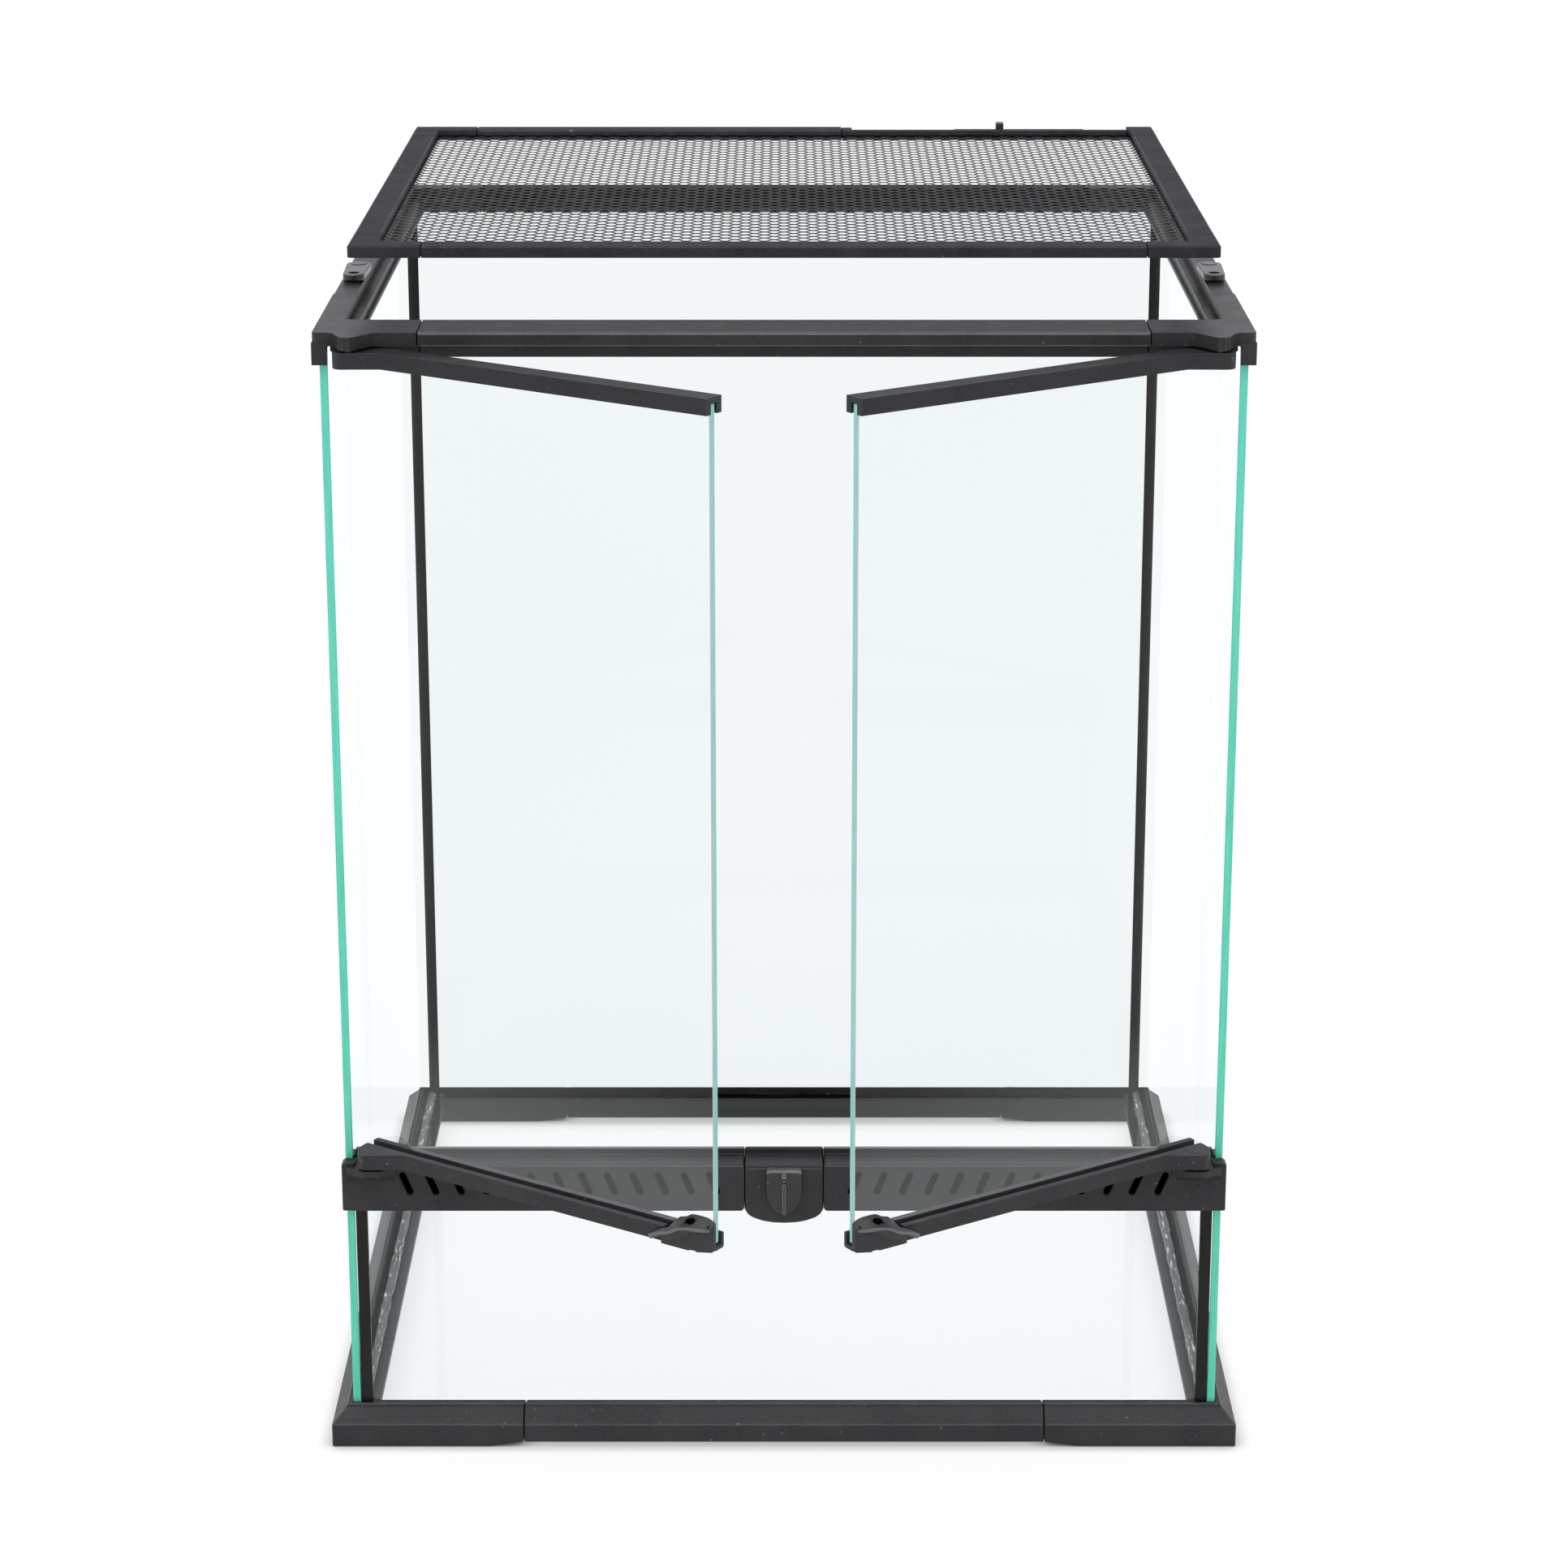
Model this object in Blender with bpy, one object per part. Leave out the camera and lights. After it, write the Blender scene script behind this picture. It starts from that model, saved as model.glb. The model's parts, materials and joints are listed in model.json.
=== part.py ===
"""Front-opening glass terrarium: black moulded base frame, glass box, front vent strip with a
door lock, two glass doors on pin hinges, top frame with four swivel latches, and a lift-off
screen lid with a sliding cable inlet.

Metres, +Z up, the doors face -Y. The doors stand open and the lid is raised above its seat.
The origin is at the centre of the footprint of that pose, on the surface the feet stand on.
"""

import bmesh
import bpy
from math import cos, pi, radians, sin
from mathutils import Matrix, Vector

# ---------------------------------------------------------------- driving dimensions
GLASS_HALF = 0.225        # half the outer width and depth of the glass box
GLASS_T = 0.004           # pane thickness
HEIGHT = 0.587            # top face of the top frame
GAP = 0.0003              # clearance between pieces that touch
SEAM = 0.00025            # half the gap at a seam between frame pieces

BASE_OUT = 0.0105         # base frame beyond the glass
BASE_ARM = 0.100          # arm length of a base corner
FOOT_FLAT = 0.082         # length of the flat foot along each arm
RAIL_LIFT = 0.0024        # underside of the base rails above the feet
PANE_SEAT = 0.0156        # top of the base flange the panes and floor stand on
PANE_TOP = HEIGHT - 0.0045

TOP_OUT = 0.003           # top frame beyond the glass
TOP_ARM_X = 0.0507        # top corner arm along the front or back
TOP_ARM_Y = 0.103         # top corner arm along the side
VISOR_T = 0.0066          # visor over the door rails
VISOR_Y = -0.2285         # front face of the visor
BAND_Y = -0.2145          # recessed band behind the door rails
BAND_T = 0.0148
OPENING_Y = -0.195        # front edge of the lid opening
LID_STEP = 0.0063         # depth of the step the lid rests on

STRIP_Y = -0.2320         # front face of the vent strip
STRIP_Z0, STRIP_Z1 = 0.131, 0.156
LIP_Z = 0.159             # door stop lip behind the ledge
STRIP_END = 0.2265
HOUSING_HALF = 0.0198
SLOT_PITCH, SLOT_W, SLOT_LEN = 0.0131, 0.0033, 0.0131
SLOT_LEAN = radians(22.5)
SLOT_COUNT = 13
SLOT_X, SLOT_Z = 0.0363, 0.1461        # middle of the slot nearest the lock

PIVOT_X, PIVOT_Y = 0.2100, -0.2345
DOOR_OPEN = radians(34)
DOOR_Z0, DOOR_Z1 = 0.1572, 0.5792
DOOR_LEN = 0.2080         # pivot to the free end of the rails
RAIL_H = 0.008
PIN_R, PIN_HOLE_R = 0.0015, 0.0018

KNOB_Z = 0.1476
KNOB_BACK, KNOB_FRONT = -0.2350, -0.2400

LATCH_X, LATCH_REACH, LATCH_HALF_W = 0.2210, 0.0330, 0.0065
LATCH_Y_FRONT, LATCH_Y_REAR = -0.0620, 0.1300

LID_HALF_X = 0.2135
LID_Y0, LID_Y1 = -0.1930, 0.2135
LID_T, LID_BAR = 0.006, 0.014
LID_ARM = 0.036
LID_RAISED = 0.036
INLET_X0, INLET_X1 = 0.0334, 0.1982
SHUTTER_X0, SHUTTER_X1 = 0.0985, 0.1735

SHIFT_Y = 0.0576          # tank centre behind the origin


# ---------------------------------------------------------------- scene and helpers
for old in list(bpy.data.objects):
    bpy.data.objects.remove(old, do_unlink=True)

PARTS = bpy.data.collections.new("terrarium")
CUTTERS = bpy.data.collections.new("cutters")
bpy.context.scene.collection.children.link(PARTS)
bpy.context.scene.collection.children.link(CUTTERS)


def empty(name, location=(0, 0, 0), rotation=0.0, parent=None):
    obj = bpy.data.objects.new(name, None)
    obj.empty_display_size = 0.02
    obj.location = location
    obj.rotation_euler = (0, 0, rotation)
    obj.parent = parent
    PARTS.objects.link(obj)
    return obj


ROOT = empty("terrarium_origin", (0, SHIFT_Y, 0))


def material(name, rgb, rough, metal=0.0, transmission=0.0):
    mat = bpy.data.materials.new(name)
    mat.use_nodes = True
    shader = mat.node_tree.nodes["Principled BSDF"]
    shader.inputs["Base Color"].default_value = (*rgb, 1.0)
    shader.inputs["Roughness"].default_value = rough
    shader.inputs["Metallic"].default_value = metal
    shader.inputs["Transmission Weight"].default_value = transmission
    return mat


def part(obj, name, rgb, rough, metal=0.0, transmission=0.0, parent=ROOT):
    """Names a finished piece, gives it its material and puts it with the other parts."""
    obj.name = name
    obj.data.name = name
    obj.data.materials.clear()
    obj.data.materials.append(material(name, rgb, rough, metal, transmission))
    obj.data.shade_smooth()
    obj.data.set_sharp_from_angle(angle=radians(35))
    obj.parent = parent
    for coll in list(obj.users_collection):
        coll.objects.unlink(obj)
    PARTS.objects.link(obj)
    for mod in obj.modifiers:
        mod.object.parent = parent
    return obj


def mesh_object(name, bm):
    bmesh.ops.recalc_face_normals(bm, faces=bm.faces)
    if bm.calc_volume(signed=True) < 0:
        bmesh.ops.reverse_faces(bm, faces=bm.faces)
    mesh = bpy.data.meshes.new(name)
    bm.to_mesh(mesh)
    bm.free()
    obj = bpy.data.objects.new(name, mesh)
    CUTTERS.objects.link(obj)
    return obj


def box(lo, hi):
    bm = bmesh.new()
    bmesh.ops.create_cube(bm, size=1.0)
    lo, hi = Vector([min(a, b) for a, b in zip(lo, hi)]), Vector([max(a, b) for a, b in zip(lo, hi)])
    size, mid = hi - lo, (hi + lo) / 2
    bmesh.ops.scale(bm, vec=size, verts=bm.verts)
    bmesh.ops.translate(bm, vec=mid, verts=bm.verts)
    return mesh_object("box", bm)


def cylinder(centre, radius, length, axis="Z", sides=20):
    bm = bmesh.new()
    bmesh.ops.create_cone(bm, cap_ends=True, segments=sides, radius1=radius, radius2=radius, depth=length)
    if axis == "Y":
        bmesh.ops.rotate(bm, verts=bm.verts, matrix=Matrix.Rotation(pi / 2, 3, "X"))
    bmesh.ops.translate(bm, vec=Vector(centre), verts=bm.verts)
    return mesh_object("cylinder", bm)


def outline_mesh(loops, depth):
    """bmesh of flat closed outlines extruded from 0 to depth; a loop inside another is a hole."""
    curve = bpy.data.curves.new("outline", "CURVE")
    curve.dimensions = "2D"
    curve.fill_mode = "BOTH"
    curve.extrude = depth / 2
    for loop in loops:
        spline = curve.splines.new("POLY")
        spline.points.add(len(loop) - 1)
        for point, (u, v) in zip(spline.points, loop):
            point.co = (u, v, 0, 1)
        spline.use_cyclic_u = True
    holder = bpy.data.objects.new("outline", curve)
    CUTTERS.objects.link(holder)
    graph = bpy.context.evaluated_depsgraph_get()
    mesh = bpy.data.meshes.new_from_object(holder.evaluated_get(graph))
    bm = bmesh.new()
    bm.from_mesh(mesh)
    bpy.data.objects.remove(holder)
    bpy.data.curves.remove(curve)
    bpy.data.meshes.remove(mesh)
    bmesh.ops.remove_doubles(bm, verts=bm.verts, dist=1e-5)
    bmesh.ops.translate(bm, vec=(0, 0, depth / 2), verts=bm.verts)
    return bm


def along_z(loops, z0, z1):
    """(x, y) outlines between two heights."""
    bm = outline_mesh(loops, z1 - z0)
    bmesh.ops.translate(bm, vec=(0, 0, z0), verts=bm.verts)
    return mesh_object("slab", bm)


def along_x(profile, x0, x1):
    """A (y, z) profile between two widths."""
    bm = outline_mesh([profile], abs(x1 - x0))
    for vert in bm.verts:
        u, v, w = vert.co
        vert.co = (min(x0, x1) + w, u, v)
    return mesh_object("bar", bm)


def along_y(profile, y0, y1):
    """An (x, z) profile between two depths."""
    bm = outline_mesh([profile], abs(y1 - y0))
    for vert in bm.verts:
        u, v, w = vert.co
        vert.co = (u, min(y0, y1) + w, v)
    return mesh_object("bar", bm)


def side(points, s):
    return [(s * x, y) for x, y in points]


def combine(obj, other, operation):
    mod = obj.modifiers.new(operation.lower(), "BOOLEAN")
    mod.operation = operation
    mod.solver = "EXACT"
    mod.object = other
    other.hide_render = True
    other.display_type = "WIRE"
    return obj


def add(obj, *others):
    for other in others:
        combine(obj, other, "UNION")
    return obj


def cut(obj, *others):
    for other in others:
        combine(obj, other, "DIFFERENCE")
    return obj


def arc(cx, cy, r, a0, a1, n):
    return [(cx + r * cos(radians(a0 + (a1 - a0) * i / n)), cy + r * sin(radians(a0 + (a1 - a0) * i / n))) for i in range(n + 1)]


def mitred_corner(profile, corner, inward, arm_x, arm_y, foot=None):
    """One moulded corner: a profile (distance inward from the outer edge, height) run along both
    edges that meet at corner, mitred on the diagonal. foot = (flat length, lift) slopes the
    underside up past the flat foot."""
    (cx, cy), (dx, dy) = corner, inward
    whole = bmesh.new()
    for along, length in ((0, arm_x), (1, arm_y)):
        bm = outline_mesh([profile], length)
        if foot:
            bmesh.ops.bisect_plane(bm, geom=bm.verts[:] + bm.edges[:] + bm.faces[:], plane_co=(0, 0, foot[0]), plane_no=(0, 0, 1), dist=1e-7)
        caps = [f for f in bm.faces if all(v.co.z < 1e-6 for v in f.verts)]
        bmesh.ops.delete(bm, geom=caps, context="FACES")
        low = min(v.co.y for v in bm.verts)
        for vert in bm.verts:
            v, z, w = vert.co
            start = w < 1e-6
            if foot and abs(w - length) < 1e-6 and z < low + 1e-6:
                z += foot[1]
            run = v if start else w
            if along == 0:
                vert.co = (cx + dx * run, cy + dy * v, z)
            else:
                vert.co = (cx + dx * v, cy + dy * run, z)
        mesh = bpy.data.meshes.new("arm")
        bm.to_mesh(mesh)
        bm.free()
        whole.from_mesh(mesh)
        bpy.data.meshes.remove(mesh)
    bmesh.ops.remove_doubles(whole, verts=whole.verts, dist=1e-6)
    return mesh_object("corner", whole)


BLACK = (0.040, 0.040, 0.043)
DARK = (0.030, 0.030, 0.033)
SEAL = (0.008, 0.008, 0.008)
GLASS = (0.80, 0.93, 0.90)


# ---------------------------------------------------------------- base frame
def base_profile(bottom, hollow):
    """(distance inward from the base's outer edge, height)."""
    o = BASE_OUT
    top = [(0, 0.0123), (0.0069, 0.0192), (0.0075, 0.0210), (o - 0.0004, 0.0210), (o - 0.0004, PANE_SEAT),
           (o + 0.0132, PANE_SEAT), (o + 0.0132, 0.0128), (o + 0.0025, 0.0128)]
    if hollow:
        return [(0, bottom)] + top + [(o + 0.0025, bottom), (o, bottom), (o, 0.0105), (0.0026, 0.0105), (0.0026, bottom)]
    return [(0, bottom)] + top + [(o + 0.0025, bottom)]


BASE_HALF = GLASS_HALF + BASE_OUT
for sx, xname in ((-1, "left"), (1, "right")):
    for sy, yname in ((-1, "front"), (1, "rear")):
        part(mitred_corner(base_profile(0.0, False), (sx * BASE_HALF, sy * BASE_HALF), (-sx, -sy),
                           BASE_ARM - SEAM, BASE_ARM - SEAM, (FOOT_FLAT, RAIL_LIFT)),
             f"base_corner_{yname}_{xname}", BLACK, 0.5)

rail_end = BASE_HALF - BASE_ARM - SEAM
hollow = base_profile(RAIL_LIFT, True)
for s, yname in ((-1, "front"), (1, "rear")):
    part(along_x([(s * (BASE_HALF - v), z) for v, z in hollow], -rail_end, rail_end), f"base_rail_{yname}", BLACK, 0.5)
for s, xname in ((-1, "left"), (1, "right")):
    part(along_y([(s * (BASE_HALF - v), z) for v, z in hollow], -rail_end, rail_end), f"base_rail_{xname}", BLACK, 0.5)

# ---------------------------------------------------------------- panes and seals
INNER = GLASS_HALF - GLASS_T
seat = PANE_SEAT + GAP
part(box((-INNER + 0.0005, -0.2200, seat), (INNER - 0.0005, 0.2200, seat + GLASS_T)), "floor_pane", GLASS, 0.02, 0.0, 0.9)
for s, xname in ((-1, "left"), (1, "right")):
    part(box((s * INNER, -GLASS_HALF, seat), (s * GLASS_HALF, GLASS_HALF, PANE_TOP)), f"side_pane_{xname}", GLASS, 0.02, 0.0, 0.9)
    fillet = [(s * (INNER - GAP), 0.2150), (s * (INNER - GAP), INNER - GAP), (s * 0.2150, INNER - GAP)]
    part(along_z([fillet], 0.0203, HEIGHT - 0.0125), f"rear_seal_{xname}", SEAL, 0.3)
    part(box((s * 0.2150, -0.2247, 0.0203), (s * (INNER - GAP), -0.2187, STRIP_Z0 - GAP)), f"front_seal_{xname}", SEAL, 0.3)
part(box((-INNER + GAP, INNER, seat), (INNER - GAP, GLASS_HALF, PANE_TOP)), "rear_pane", GLASS, 0.02, 0.0, 0.9)
part(box((-0.2147, -0.2245, seat), (0.2147, -0.2245 + GLASS_T, 0.1360)), "lower_front_pane", GLASS, 0.02, 0.0, 0.9)

# ---------------------------------------------------------------- vent strip and lock housing
STRIP = [(STRIP_Y, STRIP_Z0), (STRIP_Y, STRIP_Z1 - 0.0008), (STRIP_Y + 0.0008, STRIP_Z1), (-0.2155, STRIP_Z1), (-0.2155, LIP_Z),
         (-0.2125, LIP_Z), (-0.2125, 0.1535), (STRIP_Y + 0.0025, 0.1535), (STRIP_Y + 0.0025, 0.1384),
         (-0.2180, 0.1384), (-0.2180, STRIP_Z0), (-0.2201, STRIP_Z0), (-0.2201, 0.1364), (-0.2249, 0.1364),
         (-0.2249, STRIP_Z0)]


def capsule(cx, cz, lean):
    """Outline of one slanted slot, with round ends."""
    dx, dz = sin(lean), cos(lean)
    half = (SLOT_LEN - SLOT_W) / 2
    tilt = 90 - lean * 180 / pi
    r = SLOT_W / 2
    return (arc(cx + dx * half, cz + dz * half, r, tilt - 90, tilt + 90, 6)
            + arc(cx - dx * half, cz - dz * half, r, tilt + 90, tilt + 270, 6))


for s, xname in ((-1, "left"), (1, "right")):
    strip = along_x(STRIP, s * (INNER - 0.0005), s * (HOUSING_HALF + 0.0005))
    cheek = along_y([(s * 0.2195, STRIP_Z0), (s * STRIP_END, STRIP_Z0), (s * STRIP_END, 0.1565), (s * 0.2255, 0.1578), (s * 0.2195, 0.1578)],
                    STRIP_Y, -0.2253)
    ear = along_z([side([(-0.2245, -0.2300), (-0.2245, -0.2325), (-0.2150, -0.2400), (-0.2135, -0.2405), (-0.2085, -0.2405), (-0.2065, -0.2395), (-0.1985, -0.2325), (-0.1985, -0.2300)], -s)],
                  0.1490, STRIP_Z1 - 0.0002)
    for vert in ear.data.vertices:
        if vert.co.z < 0.1495 and vert.co.y < -0.2322:
            vert.co.y = -0.2322 + 0.12 * (vert.co.y + 0.2322)
    add(strip, cheek, ear)
    for k in range(SLOT_COUNT):
        x = s * (SLOT_X + SLOT_PITCH * k)
        slot = along_y(capsule(x, SLOT_Z, s * SLOT_LEAN), STRIP_Y - 0.002, STRIP_Y + 0.005)
        cut(strip, slot)
    cut(strip, cylinder((s * PIVOT_X, PIVOT_Y, STRIP_Z1), PIN_HOLE_R, 0.005, "Z", 16))
    part(strip, f"vent_strip_{xname}", BLACK, 0.5)

housing = along_x(STRIP, -HOUSING_HALF, HOUSING_HALF)
bottom = [(-HOUSING_HALF, 0.1330), (-HOUSING_HALF + 0.0008, 0.1308), (-HOUSING_HALF + 0.003, 0.1285), (-0.012, 0.1263), (-0.006, 0.1250), (0, 0.1246)]
bottom += [(-x, z) for x, z in reversed(bottom[:-1])]
face = along_y(bottom + [(HOUSING_HALF, 0.1545), (-HOUSING_HALF, 0.1545)], STRIP_Y - 0.0006, STRIP_Y + 0.0025)
add(housing, face)
cut(housing, cylinder((0, STRIP_Y, KNOB_Z), 0.0026, 0.010, "Y", 24))
part(housing, "lock_housing", BLACK, 0.5)

# The knob turns on its shaft; its point swings up in front of both doors to lock them.
knob_shaft = empty("lock_knob_axis", (0, STRIP_Y, KNOB_Z), 0.0, ROOT)
w = 0.0092
shield = (arc(-w + 0.0025, 0.0090 - 0.0025, 0.0025, 180, 90, 4) + arc(w - 0.0025, 0.0090 - 0.0025, 0.0025, 90, 0, 4)
          + [(w, -0.0030), (w - 0.0006, -0.0060), (w - 0.0020, -0.0092), (w - 0.0042, -0.0122), (w - 0.0068, -0.0142), (0, -0.0150)]
          + [(-w + 0.0068, -0.0142), (-w + 0.0042, -0.0122), (-w + 0.0020, -0.0092), (-w + 0.0006, -0.0060), (-w, -0.0030)])
knob = along_y(shield, KNOB_FRONT - STRIP_Y, KNOB_BACK - STRIP_Y)
rib = along_y([(-0.0012, -0.0138), (0.0012, -0.0138), (0.0012, 0.0084), (-0.0012, 0.0084)], KNOB_FRONT - 0.0012 - STRIP_Y, KNOB_FRONT + 0.001 - STRIP_Y)
hub = cylinder((0, (KNOB_BACK - STRIP_Y) + 0.0009, 0), 0.0050, 0.0030, "Y", 24)
shaft = cylinder((0, 0.0020, 0), 0.0022, 0.0100, "Y", 24)
add(knob, rib, hub, shaft)
part(knob, "lock_knob", DARK, 0.45, parent=knob_shaft)
ring = along_y(arc(0, 0, 0.0045, 0, 345, 23), 0.0029, 0.0044)
cut(ring, cylinder((0, 0.0035, 0), 0.0025, 0.006, "Y", 24))
part(ring, "lock_retaining_ring", DARK, 0.4, 0.6, parent=knob_shaft)

# ---------------------------------------------------------------- top frame
H = HEIGHT
FRAME = [(0, -0.0008), (0.0008, 0), (0.012, 0), (0.012, -LID_STEP), (0.017, -LID_STEP), (0.017, -0.0105), (0.019, -0.0105), (0.019, -0.0120),
         (0.0073, -0.0120), (0.0073, -0.0042), (0.0027, -0.0042), (0.0027, -0.0160), (0, -0.0160)]
FRAME = [(v, H + z) for v, z in FRAME]
TOP_HALF = GLASS_HALF + TOP_OUT
FRONT_BAR = [(VISOR_Y, H - VISOR_T), (VISOR_Y, H - 0.0008), (VISOR_Y + 0.0008, H), (OPENING_Y, H), (OPENING_Y, H - LID_STEP), (OPENING_Y + 0.005, H - LID_STEP),
             (OPENING_Y + 0.005, H - BAND_T), (BAND_Y, H - BAND_T), (BAND_Y, H - VISOR_T)]

for s, xname in ((-1, "left"), (1, "right")):
    plan = ([(-TOP_HALF, -0.125 - SEAM), (-TOP_HALF, -0.2268), (-0.2266, VISOR_Y), (-0.2202, VISOR_Y), (-0.2172, -0.2315), (-0.2140, -0.2395), (-0.2118, -0.2413), (-0.2090, -0.2415),
             (-0.2070, -0.2402), (-0.1985, -0.2290), (-0.1960, VISOR_Y), (-0.1773 - SEAM, VISOR_Y), (-0.1773 - SEAM, OPENING_Y)]
            + arc(-0.2100, OPENING_Y + 0.006, 0.006, 270, 180, 6) + [(-0.216, -0.125 - SEAM)])
    corner = along_z([side(plan, -s)], H - VISOR_T, H)
    wall = along_y([(s * x, z) for x, z in ((0.209, H - 0.012), (0.209, H - 0.0105), (0.211, H - 0.0105), (0.211, H - LID_STEP), (0.2172, H - LID_STEP),
                                             (0.2172, H - 0.004), (0.2207, H - 0.004), (0.2207, H - 0.012))], BAND_Y, -0.125 - SEAM)
    band = along_x([(BAND_Y, H - BAND_T), (BAND_Y, H - 0.005), (OPENING_Y - 0.002, H - 0.005), (OPENING_Y - 0.002, H - LID_STEP),
                    (OPENING_Y + 0.005, H - LID_STEP), (OPENING_Y + 0.005, H - BAND_T)], s * 0.2150, s * (0.1773 + SEAM))
    skirt = box((s * 0.2253, -0.2270, H - 0.016), (s * TOP_HALF, -0.125 - SEAM, H - 0.005))
    lug = box((s * 0.2208, VISOR_Y - 0.0004, H - 0.016), (s * (TOP_HALF + 0.0004), -0.2253, H - 0.005))
    add(corner, wall, band, skirt, lug)
    cut(corner, box((s * 0.2207, -0.2253, H - 0.030), (s * 0.2253, 0.0, H - 0.0042)),
        cylinder((s * PIVOT_X, PIVOT_Y, H - VISOR_T), PIN_HOLE_R, 0.0088, "Z", 16))
    for mod in corner.modifiers:
        mod.solver = "MANIFOLD"
    part(corner, f"top_corner_front_{xname}", BLACK, 0.5)
    part(mitred_corner(FRAME, (s * TOP_HALF, TOP_HALF), (-s, -1), TOP_ARM_X - SEAM, TOP_ARM_Y - SEAM), f"top_corner_rear_{xname}", BLACK, 0.5)
    rail = along_y([(s * (TOP_HALF - v), z) for v, z in FRAME], -TOP_HALF + TOP_ARM_Y + SEAM, TOP_HALF - TOP_ARM_Y - SEAM)
    cut(rail, cylinder((s * LATCH_X, LATCH_Y_FRONT, H), 0.0024, 0.0070, "Z", 20))
    part(rail, f"top_rail_{xname}", BLACK, 0.5)
part(along_x(FRONT_BAR, -0.1773 + SEAM, 0.1773 - SEAM), "top_rail_front", BLACK, 0.5)
part(along_x([(TOP_HALF - v, z) for v, z in FRAME], -0.1773 + SEAM, 0.1773 - SEAM), "top_rail_rear", BLACK, 0.5)
for name in ("top_corner_rear_left", "top_corner_rear_right"):
    s = -1 if name.endswith("left") else 1
    hole = cylinder((s * LATCH_X, LATCH_Y_REAR, H), 0.0024, 0.0070, "Z", 20)
    hole.parent = ROOT
    cut(bpy.data.objects[name], hole)

# Four swivel latches, each turning on its own pin, with the finger hole at the free end.
for s, xname in ((-1, "left"), (1, "right")):
    for y, yname in ((LATCH_Y_FRONT, "front"), (LATCH_Y_REAR, "rear")):
        r = LATCH_HALF_W
        plan = arc(0, 0, r, 0, 180, 10) + arc(0, -LATCH_REACH + 0.0052, 0.0052, 200, 340, 8)
        latch = along_z([plan, arc(0, -LATCH_REACH + 0.0062, 0.0026, 0, 342, 19)], 0.0008, 0.0043)
        add(latch, cylinder((0, 0, -0.0009), 0.0021, 0.0044, "Z", 20), cylinder((0, 0, 0.0044), 0.0042, 0.0016, "Z", 20))
        pivot = empty(f"latch_pivot_{yname}_{xname}", (s * LATCH_X, y, H), 0.0, ROOT)
        part(latch, f"latch_{yname}_{xname}", DARK, 0.35, parent=pivot)

# ---------------------------------------------------------------- doors
def door(s, xname):
    """One glass door, modelled closed about its pivot and opened by its parent's rotation."""
    hinge = empty(f"door_hinge_{xname}", (s * PIVOT_X, PIVOT_Y, 0), s * DOOR_OPEN, ROOT)
    m = -s

    def rail_profile(z0, z1):
        # channel open towards z1
        lip = 0.0028 if z1 > z0 else -0.0028
        return [(0.004, z0), (0.016, z0), (0.016, z1), (0.0125, z1), (0.0125, z0 + lip), (0.0075, z0 + lip), (0.0075, z1), (0.004, z1)]

    knuckle = [(0.0167, 0.0041), (0.0050, -0.0039), (0.0014, -0.0066), (-0.0008, -0.0075), (-0.0030, -0.0072), (-0.0051, -0.0059), (-0.0078, -0.0025), (-0.0090, 0.0010),
               (-0.0095, 0.0045), (-0.0095, 0.0060), (0.0167, 0.0060)]
    for z0, z1, tag, length in ((DOOR_Z0, DOOR_Z0 + RAIL_H, "bottom", 0.1797), (DOOR_Z1, DOOR_Z1 - RAIL_H, "top", DOOR_LEN)):
        rail = along_x(rail_profile(z0, z1), m * -0.0095, m * length)
        add(rail, along_z([[(m * x, y) for x, y in knuckle]], min(z0, z1), max(z0, z1)))
        cut(rail, cylinder((0, 0, (z0 + z1) / 2), PIN_HOLE_R, 0.020, "Z", 16))
        part(rail, f"door_{tag}_rail_{xname}", BLACK, 0.45, parent=hinge)
    part(box((m * -0.0090, 0.008, DOOR_Z0 + 0.0031), (m * 0.2070, 0.012, DOOR_Z1 - 0.0031)), f"door_pane_{xname}", GLASS, 0.02, 0.0, 0.9, parent=hinge)
    z = DOOR_Z0
    catch = along_x([(0.0005, z), (0.0145, z), (0.0145, z + 0.0085), (0.0123, z + 0.0085), (0.0123, z + 0.0025), (0.0077, z + 0.0025), (0.0077, z + 0.0155), (0.0005, z + 0.0170)],
                    m * 0.1800, m * 0.2085)
    tail = along_y([(m * 0.1820, z + 0.0165), (m * 0.1740, z + 0.0090), (m * 0.1665, z + 0.0050), (m * 0.1665, z + 0.0020), (m * 0.1750, z + 0.0045), (m * 0.1830, z + 0.0110)],
                   0.0005, 0.0037)
    add(catch, tail)
    cut(catch, cylinder((m * 0.1960, 0.0041, z + 0.0160), 0.0021, 0.0100, "Z", 20))
    part(catch, f"door_catch_{xname}", DARK, 0.4, parent=hinge)
    part(cylinder((0, 0, (0.1537 + DOOR_Z0 + 0.0076) / 2), PIN_R, DOOR_Z0 + 0.0076 - 0.1537, "Z", 16), f"hinge_pin_bottom_{xname}", (0.5, 0.5, 0.5), 0.3, 1.0, parent=hinge)
    part(cylinder((0, 0, (DOOR_Z1 - 0.0076 + H - 0.0026) / 2), PIN_R, H - 0.0026 - (DOOR_Z1 - 0.0076), "Z", 16), f"hinge_pin_top_{xname}", (0.5, 0.5, 0.5), 0.3, 1.0, parent=hinge)


door(-1, "left")
door(1, "right")

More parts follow.
